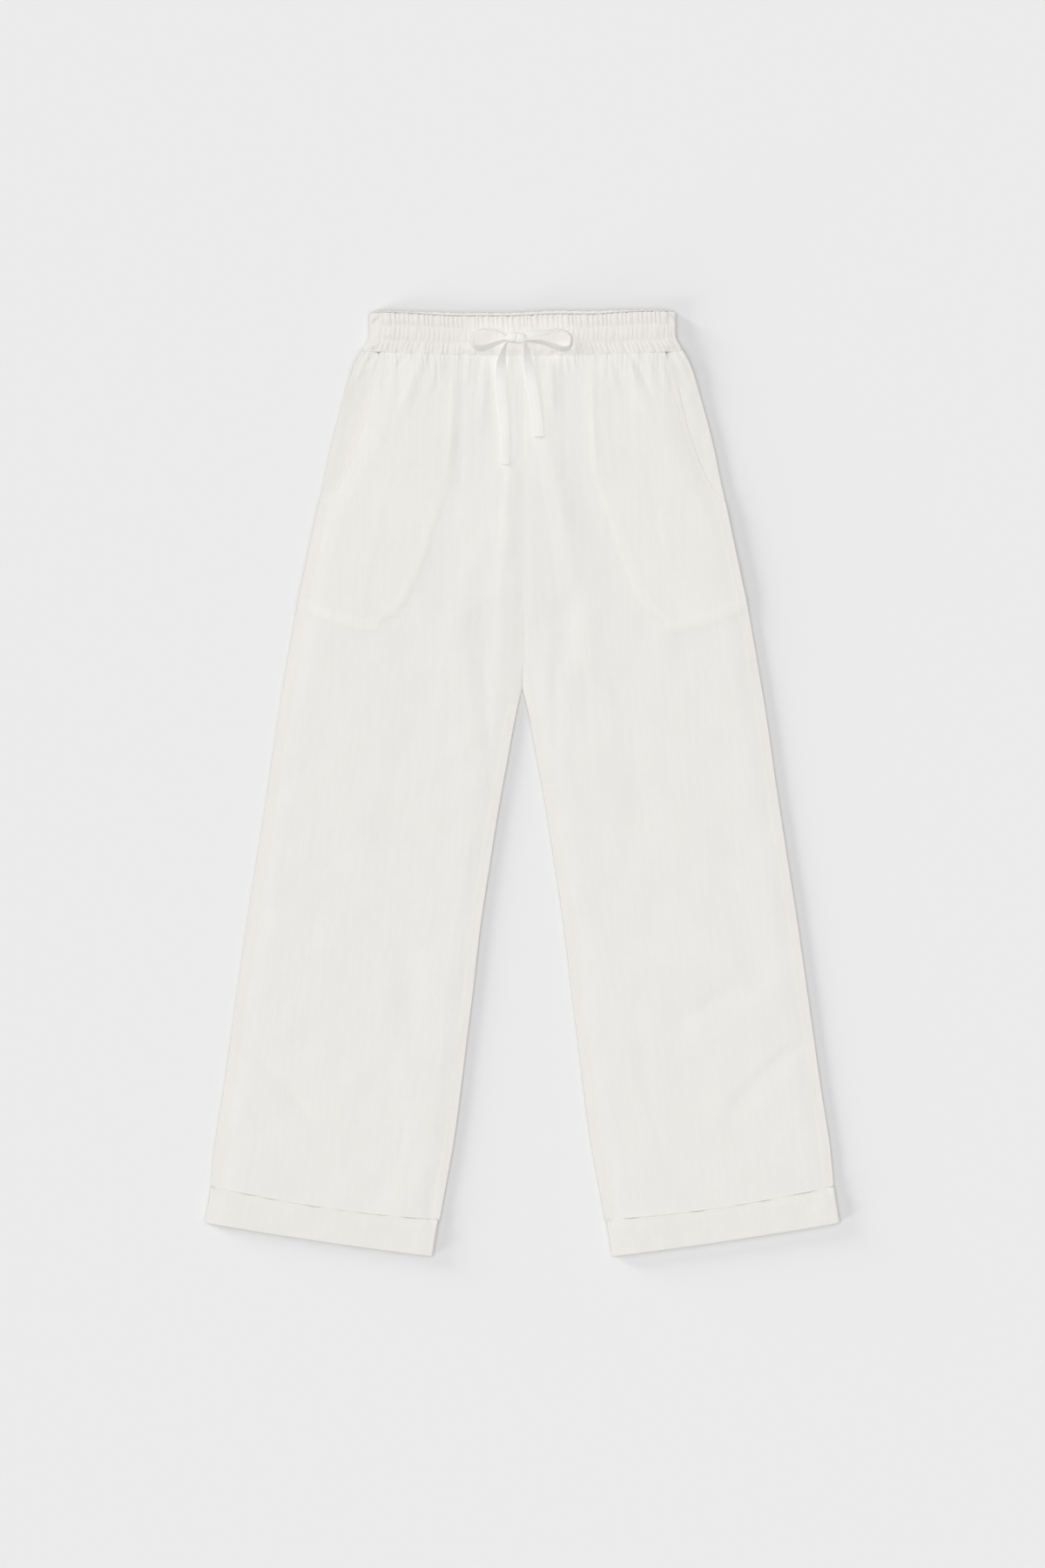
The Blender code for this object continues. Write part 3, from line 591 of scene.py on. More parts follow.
def fold_height(across, drop, side, folds):
    """Sum of the folds' ridges and troughs at a place."""
    total = 0.0
    for x0, d0, x1, d1, half_width, height in on_side(folds, side):
        along, offset, _outside = beside(across, drop, (x0, d0), (x1, d1))
        taper = blend(-0.2, 0.2, along) * (1 - blend(0.75, 1.2, along))
        total += height * taper * bell(offset, half_width)
    return total


def crease_height(across, drop, side, creases):
    """Sum of the sharp creases at a place; a crease that starts at the waist starts full."""
    total = 0.0
    for outer_width, inner_width, height, places in on_side(creases, side):
        route = smooth_route(places, 3)
        nearest, along = np.full(across.shape, 1.0), np.zeros(across.shape)
        width = np.full(across.shape, outer_width)
        for i, (start, end) in enumerate(zip(route[:-1], route[1:])):
            part, offset, outside = beside(across, drop, start, end)
            closer = offset < nearest
            nearest = np.where(closer, offset, nearest)
            along = np.where(closer, (i + np.clip(part, 0.0, 1.0)) / (len(route) - 1), along)
            width = np.where(closer, np.where(outside, outer_width, inner_width), width)
        rounding = CREASE_ROUNDING * min(outer_width, inner_width)
        offset = np.sqrt(nearest ** 2 + rounding ** 2) - rounding
        taper = 1 - blend(0.45, 1.05, along)
        if places[0][1] >= WAIST_CREASES:
            taper *= blend(-0.15, 0.35, along)
        total += height * taper * np.exp(-offset / width)
    return total


def front_form(across, drop, side, puckers=1.0, valley=1.0):
    """Top of the front's solid above the table, or with less of its puckers and its valley."""
    outer = front_outer_edge(drop) - across
    inner = across - inside_leg(drop)
    puff = mix(HIP_PUFF, LEG_PUFF, blend(0.15, 0.60, drop))
    puff *= mix(WAIST_FULLNESS, 1.0, blend(0.0, WAIST_LIFT_REACH, drop))
    edge_full = blend(0.0, PUFF_REACH, inner)
    centre_full = 1 - CENTRE_DIP * valley * (1 - blend(0.0, CENTRE_DIP_REACH, across))
    centre_full = mix(centre_full, edge_full, blend(0.27, CROTCH_DROP, drop))
    fullness = np.where(drop < CROTCH_DROP, centre_full, edge_full)
    fullness *= blend(0.0, PUFF_REACH, outer)
    calm = blend(0.0, 0.012, outer) * blend(-0.004, 0.010, inner)
    pucker = puckers * PUCKER_HEIGHT * np.exp(-np.maximum(drop, 0.0) / PUCKER_FADE)
    pucker *= np.cos(TAU * across / PUCKER_PITCH + 2.0 * np.sin(31 * across))
    relief = puff * fullness + calm * (fold_height(across, drop, side, FOLDS) + pucker)
    within = inside_bag(across, drop) + BAG_SHOWS
    if side == "right":
        within = within / mix(RIGHT_BAG_SOFT, 1.0, blend(0.09, 0.20, drop))
    cover = 0.5 * blend(-0.004, 0.004, within) + 0.5 * blend(-0.018, 0.005, within)
    return CLOTH + LAYER + LAYER * cover + waist_lift(drop) + np.maximum(relief, 0.0)


def band_form(across, share):
    """Top of the waistband's front without its gathers; share runs from seam to top."""
    fill = blend(0.0, BAND_FILL_REACH, BAND_HALF - np.abs(across))
    rise = 2 * BAND_SIDE_RADIUS + (BAND_HEIGHT - 2 * BAND_SIDE_RADIUS) * fill
    for row in CHANNEL_ROWS:
        rise -= CHANNEL_SINK * fill * bell(share - row, 0.10)
    return rise


def under_tape(across, drop, width):
    """What the drawstring lies on: the waistband above the seam, the front below it."""
    band = band_form(across, 0.5) + SOLID_GATHER_HEIGHT
    spots = across + width * np.array([-0.5, 0.0, 0.5])
    out, down = np.abs(spots), np.full(3, max(drop - WAIST_SAG, 0.0))
    left, right = (front_form(out, down, side) + crease_height(out, down, side, CREASES)
                   for side, _sign in SIDES)
    panel = float(np.max(np.where(spots > 0, left, right)))
    return mix(band, panel, blend(0.005, 0.030, drop))


def seam_height(across):
    """Top of what the waistband is sewn to: the fronts, and the hip pieces beyond them."""
    at_seam = 0.0 * across
    left, right = (front_form(np.abs(across), at_seam, side) for side, _sign in SIDES)
    hip = CLOTH + LAYER + waist_lift(at_seam)
    pocket = POCKET_EDGE[0][1]
    past_pocket = blend(pocket, pocket + 0.004, np.abs(across))
    return mix(np.where(across > 0, left, right), hip, past_pocket)


def band_top(across, front):
    """Height of the band's top edge above the waist seam, at the back (front 0) or front (1)."""
    rows = np.array(BAND_TOP)
    return mix(smooth_lookup(rows[:, (0, 2)], across), smooth_lookup(rows[:, (0, 1)], across), front)


def gather_wave(across, share, settings):
    """The waistband's fine gathers, -1 to 1, which change places at each stitch row."""
    count = across * settings.gathers / (2 * BAND_HALF)
    low = 1 - blend(0.20, 0.36, share)
    high = blend(0.58, 0.74, share)
    total = 0.0
    for weight, size, lean, seed in (
            (low, 0.90, 0.9, 11), (1 - low - high, 0.55, -0.6, 12), (high, 1.0, 0.5, 13)):
        place = count + 0.32 * wander(across, 0.043, seed) + lean * (share - 0.5)
        crest = 2 * np.abs(np.cos(math.pi * place)) ** 0.8 - 1
        total += weight * size * crest * (0.72 + 0.28 * wander(across, 0.031, seed + 10))
    for row in CHANNEL_ROWS:
        total *= 1 - 0.55 * bell(share - row, 0.05)
    return total


# ---------------------------------------------------------------- meshes


def uv_grid(around, along):
    return np.stack(np.meshgrid(around, along), axis=-1)


def grid_mesh(name, points, uv, closed_columns=False, closed_rows=False, fields=None):
    """A mesh over points[row, column]. uv has a row or column more where the mesh is closed.

    fields gives a name and a value for each point to the materials.
    """
    rows, columns = points.shape[:2]
    index = np.arange(rows * columns).reshape(rows, columns)
    corner = np.arange(uv.shape[0] * uv.shape[1]).reshape(uv.shape[:2])
    if closed_columns:
        index = np.concatenate([index, index[:, :1]], axis=1)
    if closed_rows:
        index = np.concatenate([index, index[:1]], axis=0)

    def quads(grid):
        cells = (grid[:-1, :-1], grid[:-1, 1:], grid[1:, 1:], grid[1:, :-1])
        return np.stack(cells, axis=-1).reshape(-1, 4)

    mesh = bpy.data.meshes.new(name)
    mesh.from_pydata(points.reshape(-1, 3).tolist(), [], quads(index).tolist())
    layer = mesh.uv_layers.new(name="Cloth")
    flat_uv = uv.reshape(-1, 2)[quads(corner).ravel()]
    layer.data.foreach_set("uv", flat_uv.ravel().astype(np.float32))
    for field, values in (fields or {}).items():
        attribute = mesh.attributes.new(field, "FLOAT", "POINT")
        spread = np.broadcast_to(values, (rows, columns)).ravel()
        attribute.data.foreach_set("value", spread.astype(np.float32))
    mesh.shade_smooth()
    return mesh


def weld(mesh):
    """Merge the points of a mesh that meet and turn its faces outwards."""
    bm = bmesh.new()
    bm.from_mesh(mesh)
    bmesh.ops.remove_doubles(bm, verts=bm.verts, dist=1e-6)
    bmesh.ops.recalc_face_normals(bm, faces=bm.faces)
    bm.to_mesh(mesh)
    bm.free()


def face(mesh, upwards):
    """Turn a laid sheet's faces up or down."""
    total = sum(polygon.normal.z * polygon.area for polygon in mesh.polygons)
    if (total > 0) != upwards:
        mesh.flip_normals()


def thicken(obj, wall):
    """Give a sheet its thickness, away from the side that its faces point to."""
    solidify = obj.modifiers.new("Wall", "SOLIDIFY")
    solidify.thickness = wall
    solidify.offset = -1
    solidify.use_even_offset = False


def put_in_scene(name, data):
    """A new object of some data, at the origin of the scene."""
    obj = bpy.data.objects.new(name, data)
    bpy.context.scene.collection.objects.link(obj)
    return obj


def piece(name, mesh, material, slot, *nodes):
    """Make an object of a finished mesh and have it stand for its solids."""
    for node in nodes:
        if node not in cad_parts:
            raise RuntimeError(f"the frame has no solid named {node}")
    obj = put_in_scene(name, mesh)
    mesh.materials.clear()
    mesh.materials.append(material)
    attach(obj, "root")
    if nodes:
        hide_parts(*nodes)
    return obj


# ---------------------------------------------------------------- materials


def add(tree, kind, links=None, **settings):
    """Add a node. settings are its own properties, links its inputs' values or sources."""
    node = tree.nodes.new(kind)
    for key, value in settings.items():
        setattr(node, key, value)
    for key, value in (links or {}).items():
        if isinstance(value, bpy.types.NodeSocket):
            tree.links.new(value, node.inputs[key])
        else:
            node.inputs[key].default_value = value
    return node


def bare_material(name):
    """A new material whose tree is empty."""
    material = bpy.data.materials.new(name)
    material.use_nodes = True
    material.node_tree.nodes.clear()
    return material


MIX_FACTOR, MIX_A, MIX_B = 0, 6, 7      # a colour Mix node's sockets
MIX_COLOUR = 2                          # and its output


def linen(name, colour, pitch, tints=(), slub=0.016, weave=0.30, roughness=0.88):
    """Plain-weave flax linen, washed and pressed.

    Flax thread is thick and thin along its length, so the weave has faint slubs both ways,
    and it scatters light softly with a little sheen. tints are (field, colour, share).
    Threads lie 0.45 mm apart in the real cloth and are drawn at pitch to show close up.
    """
    found = bpy.data.materials.get(name)
    if found:
        return found
    material = bare_material(name)
    tree = material.node_tree
    cloth = add(tree, "ShaderNodeUVMap", uv_map="Cloth").outputs["UV"]

    def streaks(width, length, seed, detail):
        """Noise drawn out along the cloth; width runs across it and length down it."""
        place = add(tree, "ShaderNodeMapping", {
            "Vector": cloth, "Location": (seed, 1.7 * seed, 0.0),
            "Scale": (1 / width, 1 / length, 1.0)})
        return add(tree, "ShaderNodeTexNoise", {
            "Vector": place.outputs["Vector"], "Scale": 1.0, "Detail": detail,
            "Roughness": 0.55}, noise_dimensions="2D").outputs["Fac"]

    warp = streaks(0.0032, 0.085, 3.1, 2.0)
    weft = streaks(0.060, 0.0036, 8.3, 2.0)
    mottle = streaks(0.045, 0.060, 5.7, 1.0)
    threads = add(tree, "ShaderNodeMath", {0: weft, 1: 0.4, 2: warp},
                  operation="MULTIPLY_ADD").outputs[0]
    uneven = add(tree, "ShaderNodeMath", {0: threads, 1: mottle}, operation="ADD").outputs[0]
    level = add(tree, "ShaderNodeMapRange", {
        "Value": uneven, "From Min": 0.75, "From Max": 1.65,
        "To Min": 1.0 - slub, "To Max": 1.0 + slub}).outputs["Result"]

    shade = add(tree, "ShaderNodeRGB").outputs[0]
    shade.default_value = (*colour, 1.0)
    for field, tint, share in tints:
        amount = add(tree, "ShaderNodeAttribute", attribute_name=field).outputs["Fac"]
        part = add(tree, "ShaderNodeMath", {0: amount, 1: share}, operation="MULTIPLY").outputs[0]
        shade = add(tree, "ShaderNodeMix", {
            MIX_FACTOR: part, MIX_A: shade, MIX_B: (*tint, 1.0)},
            data_type="RGBA").outputs[MIX_COLOUR]
    grey = add(tree, "ShaderNodeCombineColor", {"Red": level, "Green": level, "Blue": level})
    shade = add(tree, "ShaderNodeMix", {
        MIX_FACTOR: 1.0, MIX_A: shade, MIX_B: grey.outputs["Color"]},
        data_type="RGBA", blend_type="MULTIPLY").outputs[MIX_COLOUR]

    split = add(tree, "ShaderNodeSeparateXYZ", {"Vector": cloth})
    waves = []
    for axis in ("X", "Y"):
        angle = add(tree, "ShaderNodeMath", {0: split.outputs[axis], 1: math.pi / pitch},
                    operation="MULTIPLY").outputs[0]
        waves.append(add(tree, "ShaderNodeMath", {0: angle}, operation="SINE").outputs[0])
    crossing = add(tree, "ShaderNodeMath", {0: waves[0], 1: waves[1]}, operation="MULTIPLY")
    relief = add(tree, "ShaderNodeMath", {
        0: threads, 1: 1.6, 2: crossing.outputs[0]}, operation="MULTIPLY_ADD")
    bump = add(tree, "ShaderNodeBump", {
        "Height": relief.outputs[0], "Strength": weave, "Distance": 0.00012})

    shader = add(tree, "ShaderNodeBsdfPrincipled", {
        "Base Color": shade, "Roughness": roughness, "IOR": 1.5, "Specular IOR Level": 0.25,
        "Sheen Weight": 0.08, "Sheen Roughness": 0.5, "Normal": bump.outputs["Normal"]})
    add(tree, "ShaderNodeOutputMaterial", {"Surface": shader.outputs["BSDF"]})
    return material


def panel_linen(settings):
    """The legs' linen, a little different in shade where something lies behind it."""
    return linen("Washed white linen", settings.cool, settings.thread_pitch, (
        ("warm", settings.warm, 1.0), ("backed", settings.backed, 1.0),
        ("bag_seam", settings.bag_seam, 1.0), ("double", settings.double, 0.45)))


# ---------------------------------------------------------------- panels


EDGE_STEPS = (0.0, 0.00012, 0.0004, 0.0008, 0.0014)     # where a rounded edge has points


def spread(width, count):
    """Distances from one edge to the other, close together at both edges."""
    edge = np.array(EDGE_STEPS)
    width = np.asarray(width, float).reshape(-1, 1)
    middle = mix(edge[-1], width - edge[-1], np.linspace(0.0, 1.0, count)[1:-1])
    start = np.broadcast_to(edge, (len(width), len(edge)))
    return np.concatenate([start, middle, width - edge[::-1]], axis=1)


def leg_rows(near, hip, leg, tuck):
    """Share of the hip part and of the leg part at each row, with near rows at the waist.

    Where there is a tuck, the first and last rows run past the panel's ends by that much.
    """
    edge = np.array(EDGE_STEPS)
    past = tuck * np.array((0.4, 0.7, 1.0)) if tuck else np.empty(0)
    top = np.concatenate([-past[::-1], edge])
    middle = np.linspace(edge[-1], WAIST_LIFT_REACH, near)[1:]
    hips = np.concatenate([top, middle, np.linspace(WAIST_LIFT_REACH, CROTCH_DROP, hip)[1:]])
    length = LEG_OUT_END - CROTCH_DROP
    legs = np.concatenate([np.linspace(0.0, length - edge[-1], leg)[1:-1], length - edge[::-1],
                           length + past])
    hip_share = np.concatenate([hips / CROTCH_DROP, np.ones(len(legs))])
    leg_share = np.concatenate([np.zeros(len(hips)), legs / length])
    return hip_share.reshape(-1, 1), leg_share.reshape(-1, 1)


def leg_grid(rows, columns, outer_edge, sag, tuck):
    """Across, drop and Y of a leg panel's points, and their distances to its four edges."""
    hip, leg = leg_rows(*rows, tuck)
    drop_out = mix(CROTCH_DROP * hip, LEG_OUT_END, leg)
    drop_in = mix(CROTCH_DROP * hip, LEG_IN_END, leg)
    outer = outer_edge(drop_out)
    inner = np.maximum(inside_leg(drop_in), 0.0)
    from_outer = spread(outer - inner, columns)
    u = from_outer / (outer - inner)
    across = outer - from_outer
    drop = mix(drop_out, drop_in, u)
    hang = HEM_BOW * leg * bow(u)
    if sag:
        hang += waist_sag(across) * (1 - hip) ** 2
    gap = SEAM_GAP * blend(0.0, 0.02, drop)
    from_hem = (1 - leg) * (LEG_OUT_END - CROTCH_DROP)
    return {"across": across, "drop": drop, "y": SEAM_Y - gap - drop - hang,
            "outer": from_outer, "inner": (outer - inner) - from_outer,
            "waist": CROTCH_DROP * hip + 0.0 * across, "hem": from_hem + 0.0 * across + (1 - hip)}


def tucked(distance, tuck, depth):
    """How far cloth has dipped near an edge where it runs under the next piece."""
    return depth * (1 - blend(-tuck, 0.1 * tuck, distance))


GRAIN_TILT = 0.145      # the legs' grain leans out with them by this much


def cloth_uv(across, drop, sign):
    """Place on the cut cloth in metres, with its grain down the leg."""
    lean = GRAIN_TILT * np.maximum(drop - 0.30, 0.0)
    return np.stack([sign * (across - lean), drop + 0.0 * across], axis=-1)


def allowance(distance, settings):
    """1 over the doubled cloth of a seam, 0 past it."""
    return 1 - blend(settings.allowance - 0.0008, settings.allowance + 0.0008, distance)


def lay_cloth(node, places, uv, fields, material, slot, wall, upwards=True):
    """A sheet of cloth over a grid of places, for one solid."""
    mesh = grid_mesh(f"{node}_cloth", np.stack(places, axis=-1), uv, fields=fields)
    face(mesh, upwards)
    obj = piece(f"{node}_cloth", mesh, material, slot, node)
    thicken(obj, wall)
    return obj


def crumpled(across, drop, height, seed):
    """The soft unevenness of washed cloth, stronger on the legs."""
    legs = blend(0.25, 0.60, drop)
    return height * (ripple(across, 0.6 * drop, 0.034, seed) * mix(0.7, 1.0, legs)
                     + 0.28 * ripple(across, 0.7 * drop, 0.010, seed + 1))


def waist_gathers(across, waist, outer, gathers, seed):
    """Cloth that bulges between the gathers at the waist seam, and pleats that run down."""
    puffs = np.abs(np.cos(math.pi * (across * gathers / (2 * BAND_HALF)
                                     + 0.4 * wander(across, 0.052, seed + 2))))
    bulge = np.exp(-waist / BULGE_FADE) * blend(-0.0005, 0.0022, waist)
    unevenly = 0.65 + 0.35 * wander(across, 0.027, seed + 3)
    bulge = BULGE_HEIGHT * bulge * (puffs - 0.20) * unevenly

    slanted = across + 0.10 * np.sin(across / 0.019 + seed) * waist
    turns = slanted / PLEAT_PITCH + 0.6 * wander(slanted, 0.060, seed + 4)
    pleats = 2 * np.abs(np.cos(math.pi * turns)) - 1.2
    fade = 0.009 + 0.007 * (1 + wander(across, 0.038, seed + 5))
    reach = np.exp(-np.maximum(waist, 0) / fade) * blend(0.0, 0.003, waist)
    return bulge + PLEAT_HEIGHT * pleats * reach * blend(0.0, 0.006, outer)


def make_front(side, sign, context):
    """One front: gathered into the band, cut away at the pocket, creased where it hangs."""
    settings = context.scene.trousers
    cloth = settings.linen
    seed = 20 if side == "left" else 40
    place = leg_grid((44, 84, 104), 196, front_outer_edge, sag=True, tuck=cloth.tuck)
    across, drop, hem = place["across"], place["drop"], place["hem"]
    outer, inner, waist = place["outer"], place["inner"], place["waist"]
    height = front_form(across, drop, side, SHELL_PUCKERS, SHELL_VALLEY)

    # Creases run on over the centre seam down to the crotch, and smaller forms stop short of it
    calm = blend(0.0, 0.016, outer) * blend(-0.004, 0.006, waist)
    off_seam = blend(-0.002, 0.010, inner)
    over_seam = mix(1.0, off_seam, blend(0.30, 0.36, drop))
    height += calm * crease_height(across, drop, side, CREASES) * over_seam
    calm *= off_seam
    height += calm * fold_height(across, drop, side, SMALL_FOLDS)
    height += calm * crumpled(across, drop, cloth.crumple, seed)
    height += waist_gathers(across, waist, outer, settings.waistband.gathers, seed)

    within = inside_bag(across, drop) + BAG_SHOWS
    bag = blend(-0.0012, 0.0012, within)
    bag_strip = bag * (1 - blend(0.010, 0.016, within)) * blend(0.12, 0.20, drop)
    pocket_end = POCKET_EDGE[-1][0]
    opening = 1 - blend(pocket_end - 0.004, pocket_end + 0.004, drop)
    strip = np.maximum(allowance(outer, cloth) * (1 - opening),
                       allowance(inner, cloth) * below_crotch(drop))
    height += DOUBLED_RISE * strip
    facing = sum(bell(outer - inset, width) for inset, width in FACING_ROWS)
    height -= FACING_SINK * opening * facing
    height -= OPENING_SINK * opening * (1 - blend(0.0, OPENING_REACH, outer))

    crotch = blend(0.330, 0.372, drop)
    at_crotch = crotch * (1 - blend(CROTCH_DROP, 0.39, drop)) * bell(inner, 0.0022)
    height -= rolled(outer, mix(cloth.edge_roll, cloth.fold_roll, opening))
    height -= rolled(inner, mix(CENTRE_ROLL, LEG_ROLL, crotch)) + LEG_ROLL * at_crotch
    height -= tucked(waist, cloth.tuck, WAIST_TUCK) + tucked(hem, cloth.tuck, HEM_TUCK)
    height -= HEM_DIP * calm * (1 - blend(0.0, 0.030, hem))

    knees = blend(0.50, 0.66, drop) * (1 - blend(0.70, 0.80, drop))
    fields = {"warm": 1 - 0.3 * knees, "backed": bag, "bag_seam": bag_strip,
              "double": np.maximum(strip, opening * allowance(outer + 0.003, cloth))}
    obj = lay_cloth(f"front_{side}", (sign * across, place["y"], height),
                    cloth_uv(across, drop, sign), fields, panel_linen(cloth), "linen", cloth.wall)


def make_back(side, sign, context):
    """One back, flat where it rests, with shallow folds that lift off the table."""
    cloth = context.scene.trousers.linen
    place = leg_grid((24, 40, 80), 84, side_seam, sag=False, tuck=0.0)
    across, drop, outer, inner = (place[key] for key in ("across", "drop", "outer", "inner"))
    mirrored, seed = ("right", 62) if side == "left" else ("left", 63)
    calm = blend(0.004, 0.030, outer) * blend(0.0, 0.020, inner)
    hollow = np.abs(fold_height(across, drop, mirrored, FOLDS)) * BACK_FOLDS
    gathers = 0.00020 * np.exp(-place["waist"] / 0.022) * (
        1 + np.cos(TAU * (across / 0.0066 + 0.5 * wander(across, 0.05, 61))))
    crumple = 0.00012 * (1 + ripple(across, drop, 0.040, seed))
    height = np.clip(calm * (hollow + gathers + crumple), 0.0, BACK_LIFT)
    leg = below_crotch(drop)
    height += rolled(outer, cloth.back_roll)
    height += rolled(inner, mix(0.0003, cloth.back_roll, leg))
    strip = np.maximum(allowance(outer, cloth), allowance(inner, cloth) * leg)
    fields = {"warm": np.ones(drop.shape), "double": strip}
    obj = lay_cloth(f"back_{side}", (sign * across, place["y"], height),
                    cloth_uv(across, drop + BACK_CUT, sign), fields, panel_linen(cloth),
                    "linen", cloth.wall, upwards=False)


def make_pocket(side, sign, context):
    """The hip piece that shows in the pocket opening and runs on as the pocket bag."""
    cloth = context.scene.trousers.linen
    v = (np.linspace(0.0, 1.0, 100) ** 1.15).reshape(-1, 1)
    drop_out, drop_in = BAG_SIDE_END * v, BAG_EDGE[-1][0] * v
    outer_edge, inner_edge = side_seam(drop_out), smooth_lookup(BAG_EDGE, drop_in)
    from_outer = spread(outer_edge - inner_edge, 64)
    u = from_outer / (outer_edge - inner_edge)
    across = outer_edge - from_outer
    drop = mix(drop_out, drop_in, u)
    hang = waist_sag(across) * (1 - v) ** 2 + POCKET_BOW * v ** 4 * bow(u)

    shows = blend(-0.010, 0.0, across - smooth_lookup(POCKET_EDGE, drop))
    shows *= (1 - blend(0.14, 0.17, drop)) * blend(0.0, 0.006, from_outer)
    relief = (fold_height(across, drop, side, POCKET_FOLDS)
              + crease_height(across, drop, side, POCKET_CREASES)
              + 0.00016 * ripple(across, drop, 0.020, 71 if side == "left" else 72))
    puffs = np.exp(-drop / 0.006) * blend(0.0, 0.002, drop) * np.cos(TAU * across / 0.0052)
    under = 1 - blend(0.0, 0.0012, drop)
    double = allowance(from_outer, cloth)
    height = CLOTH + LAYER + SEAM_GAP + waist_lift(drop) + shows * (relief + 0.0004 * puffs)
    height += DOUBLED_RISE * double - rolled(from_outer, cloth.edge_roll)
    height -= HIP_TUCK_DEPTH * under
    y = SEAM_Y - SEAM_GAP * v - drop - hang + HIP_TUCK * under
    # Its colour is a shade darker than the fronts' as painted shade of the opening that it lies low
    # in
    material = linen("Washed white linen, hip piece in painted shade", cloth.inside, cloth.thread_pitch,
                     (("double", cloth.double, 0.12),))
    obj = lay_cloth(f"pocket_{side}", (sign * across, y, height),
                    cloth_uv(across, drop + POCKET_CUT, sign), {"double": double}, material,
                    "pocket_linen", cloth.wall)


# ---------------------------------------------------------------- tubes laid flat


def tube_outline(counts, width, radius):
    """Outline of a tube laid flat, a column for each point, a row for each width.

    counts are the columns of the back, of each side fold and of the front. Gives the
    distance in from one side, the height (0 on the front) and the share that is front.
    """
    back, fold, front = counts
    width = np.asarray(width, float).reshape(-1, 1)
    ones = np.ones_like(width)
    span = np.linspace(0.0, 1.0, back + 1)[:-1]
    angle = np.linspace(-math.pi / 2, math.pi / 2, fold + 1)[:-1]
    reach, rise = radius * np.cos(angle), radius * (1 + np.sin(angle))
    top = np.linspace(0.0, 1.0, front + 1)
    near_reach, falling = reach[::-1][:-1], rise[::-1][:-1]
    distance = [mix(radius, width - radius, span), width - radius + reach,
                mix(width - radius, radius, top), ones * radius - near_reach]
    height = [ones * 0.0 * span, ones * rise, ones * 0.0 * top, ones * falling]
    front_share = [ones * 0.0 * span, ones * rise / (2 * radius), ones + 0.0 * top,
                   ones * falling / (2 * radius)]
    return [np.concatenate(part, axis=1) for part in (distance, height, front_share)]


def section_normals(points):
    """Unit normals in the X-Z plane of a tube's rings, pointing out of the tube."""
    along = np.roll(points, -1, axis=1) - np.roll(points, 1, axis=1)
    normals = unit(np.stack([along[..., 2], np.zeros(along.shape[:2]), -along[..., 0]], axis=-1))
    lowest = normals[:, :3, 2].mean()
    return -normals if lowest > 0 else normals


def rimmed_tube(outer, wall, picked, rim_steps=5):
    """Rows of a tube's whole wall: its outside, a round rim, its inside and the other rim.

    wall is the thickness at each point, picked the outside's rows that the inside repeats.
    """
    normals = section_normals(outer)
    half = wall[..., None] / 2

    def rim(row, direction):
        centre = outer[row] - normals[row] * half[row]
        angles = np.linspace(0.0, math.pi, rim_steps + 2)[1:-1]
        return [centre + half[row] * (normals[row] * math.cos(a) + direction * math.sin(a))
                for a in angles]

    inside = [outer[row] - normals[row] * 2 * half[row] for row in reversed(picked)]
    top = rim(-1, np.array([0.0, 1.0, 0.0]))
    bottom = rim(0, np.array([0.0, -1.0, 0.0]))
    return np.stack([*outer, *top, *inside, *bottom[::-1]])


def tube_uv(points):
    """Cloth coordinates round and along a tube's wall, in metres."""
    return uv_grid(*(distance_along(np.append(line, line[:1], axis=0))
                     for line in (points[0], points[:, 0])))


def lay_tube(node, points, material, slot):
    """A closed tube of cloth, for one solid, with its faces outwards."""
    mesh = grid_mesh(f"{node}_cloth", points, tube_uv(points), True, True)
    bm = bmesh.new()
    bm.from_mesh(mesh)
    if bm.calc_volume(signed=True) < 0:
        mesh.flip_normals()
    bm.free()
    return piece(f"{node}_cloth", mesh, material, slot, node)


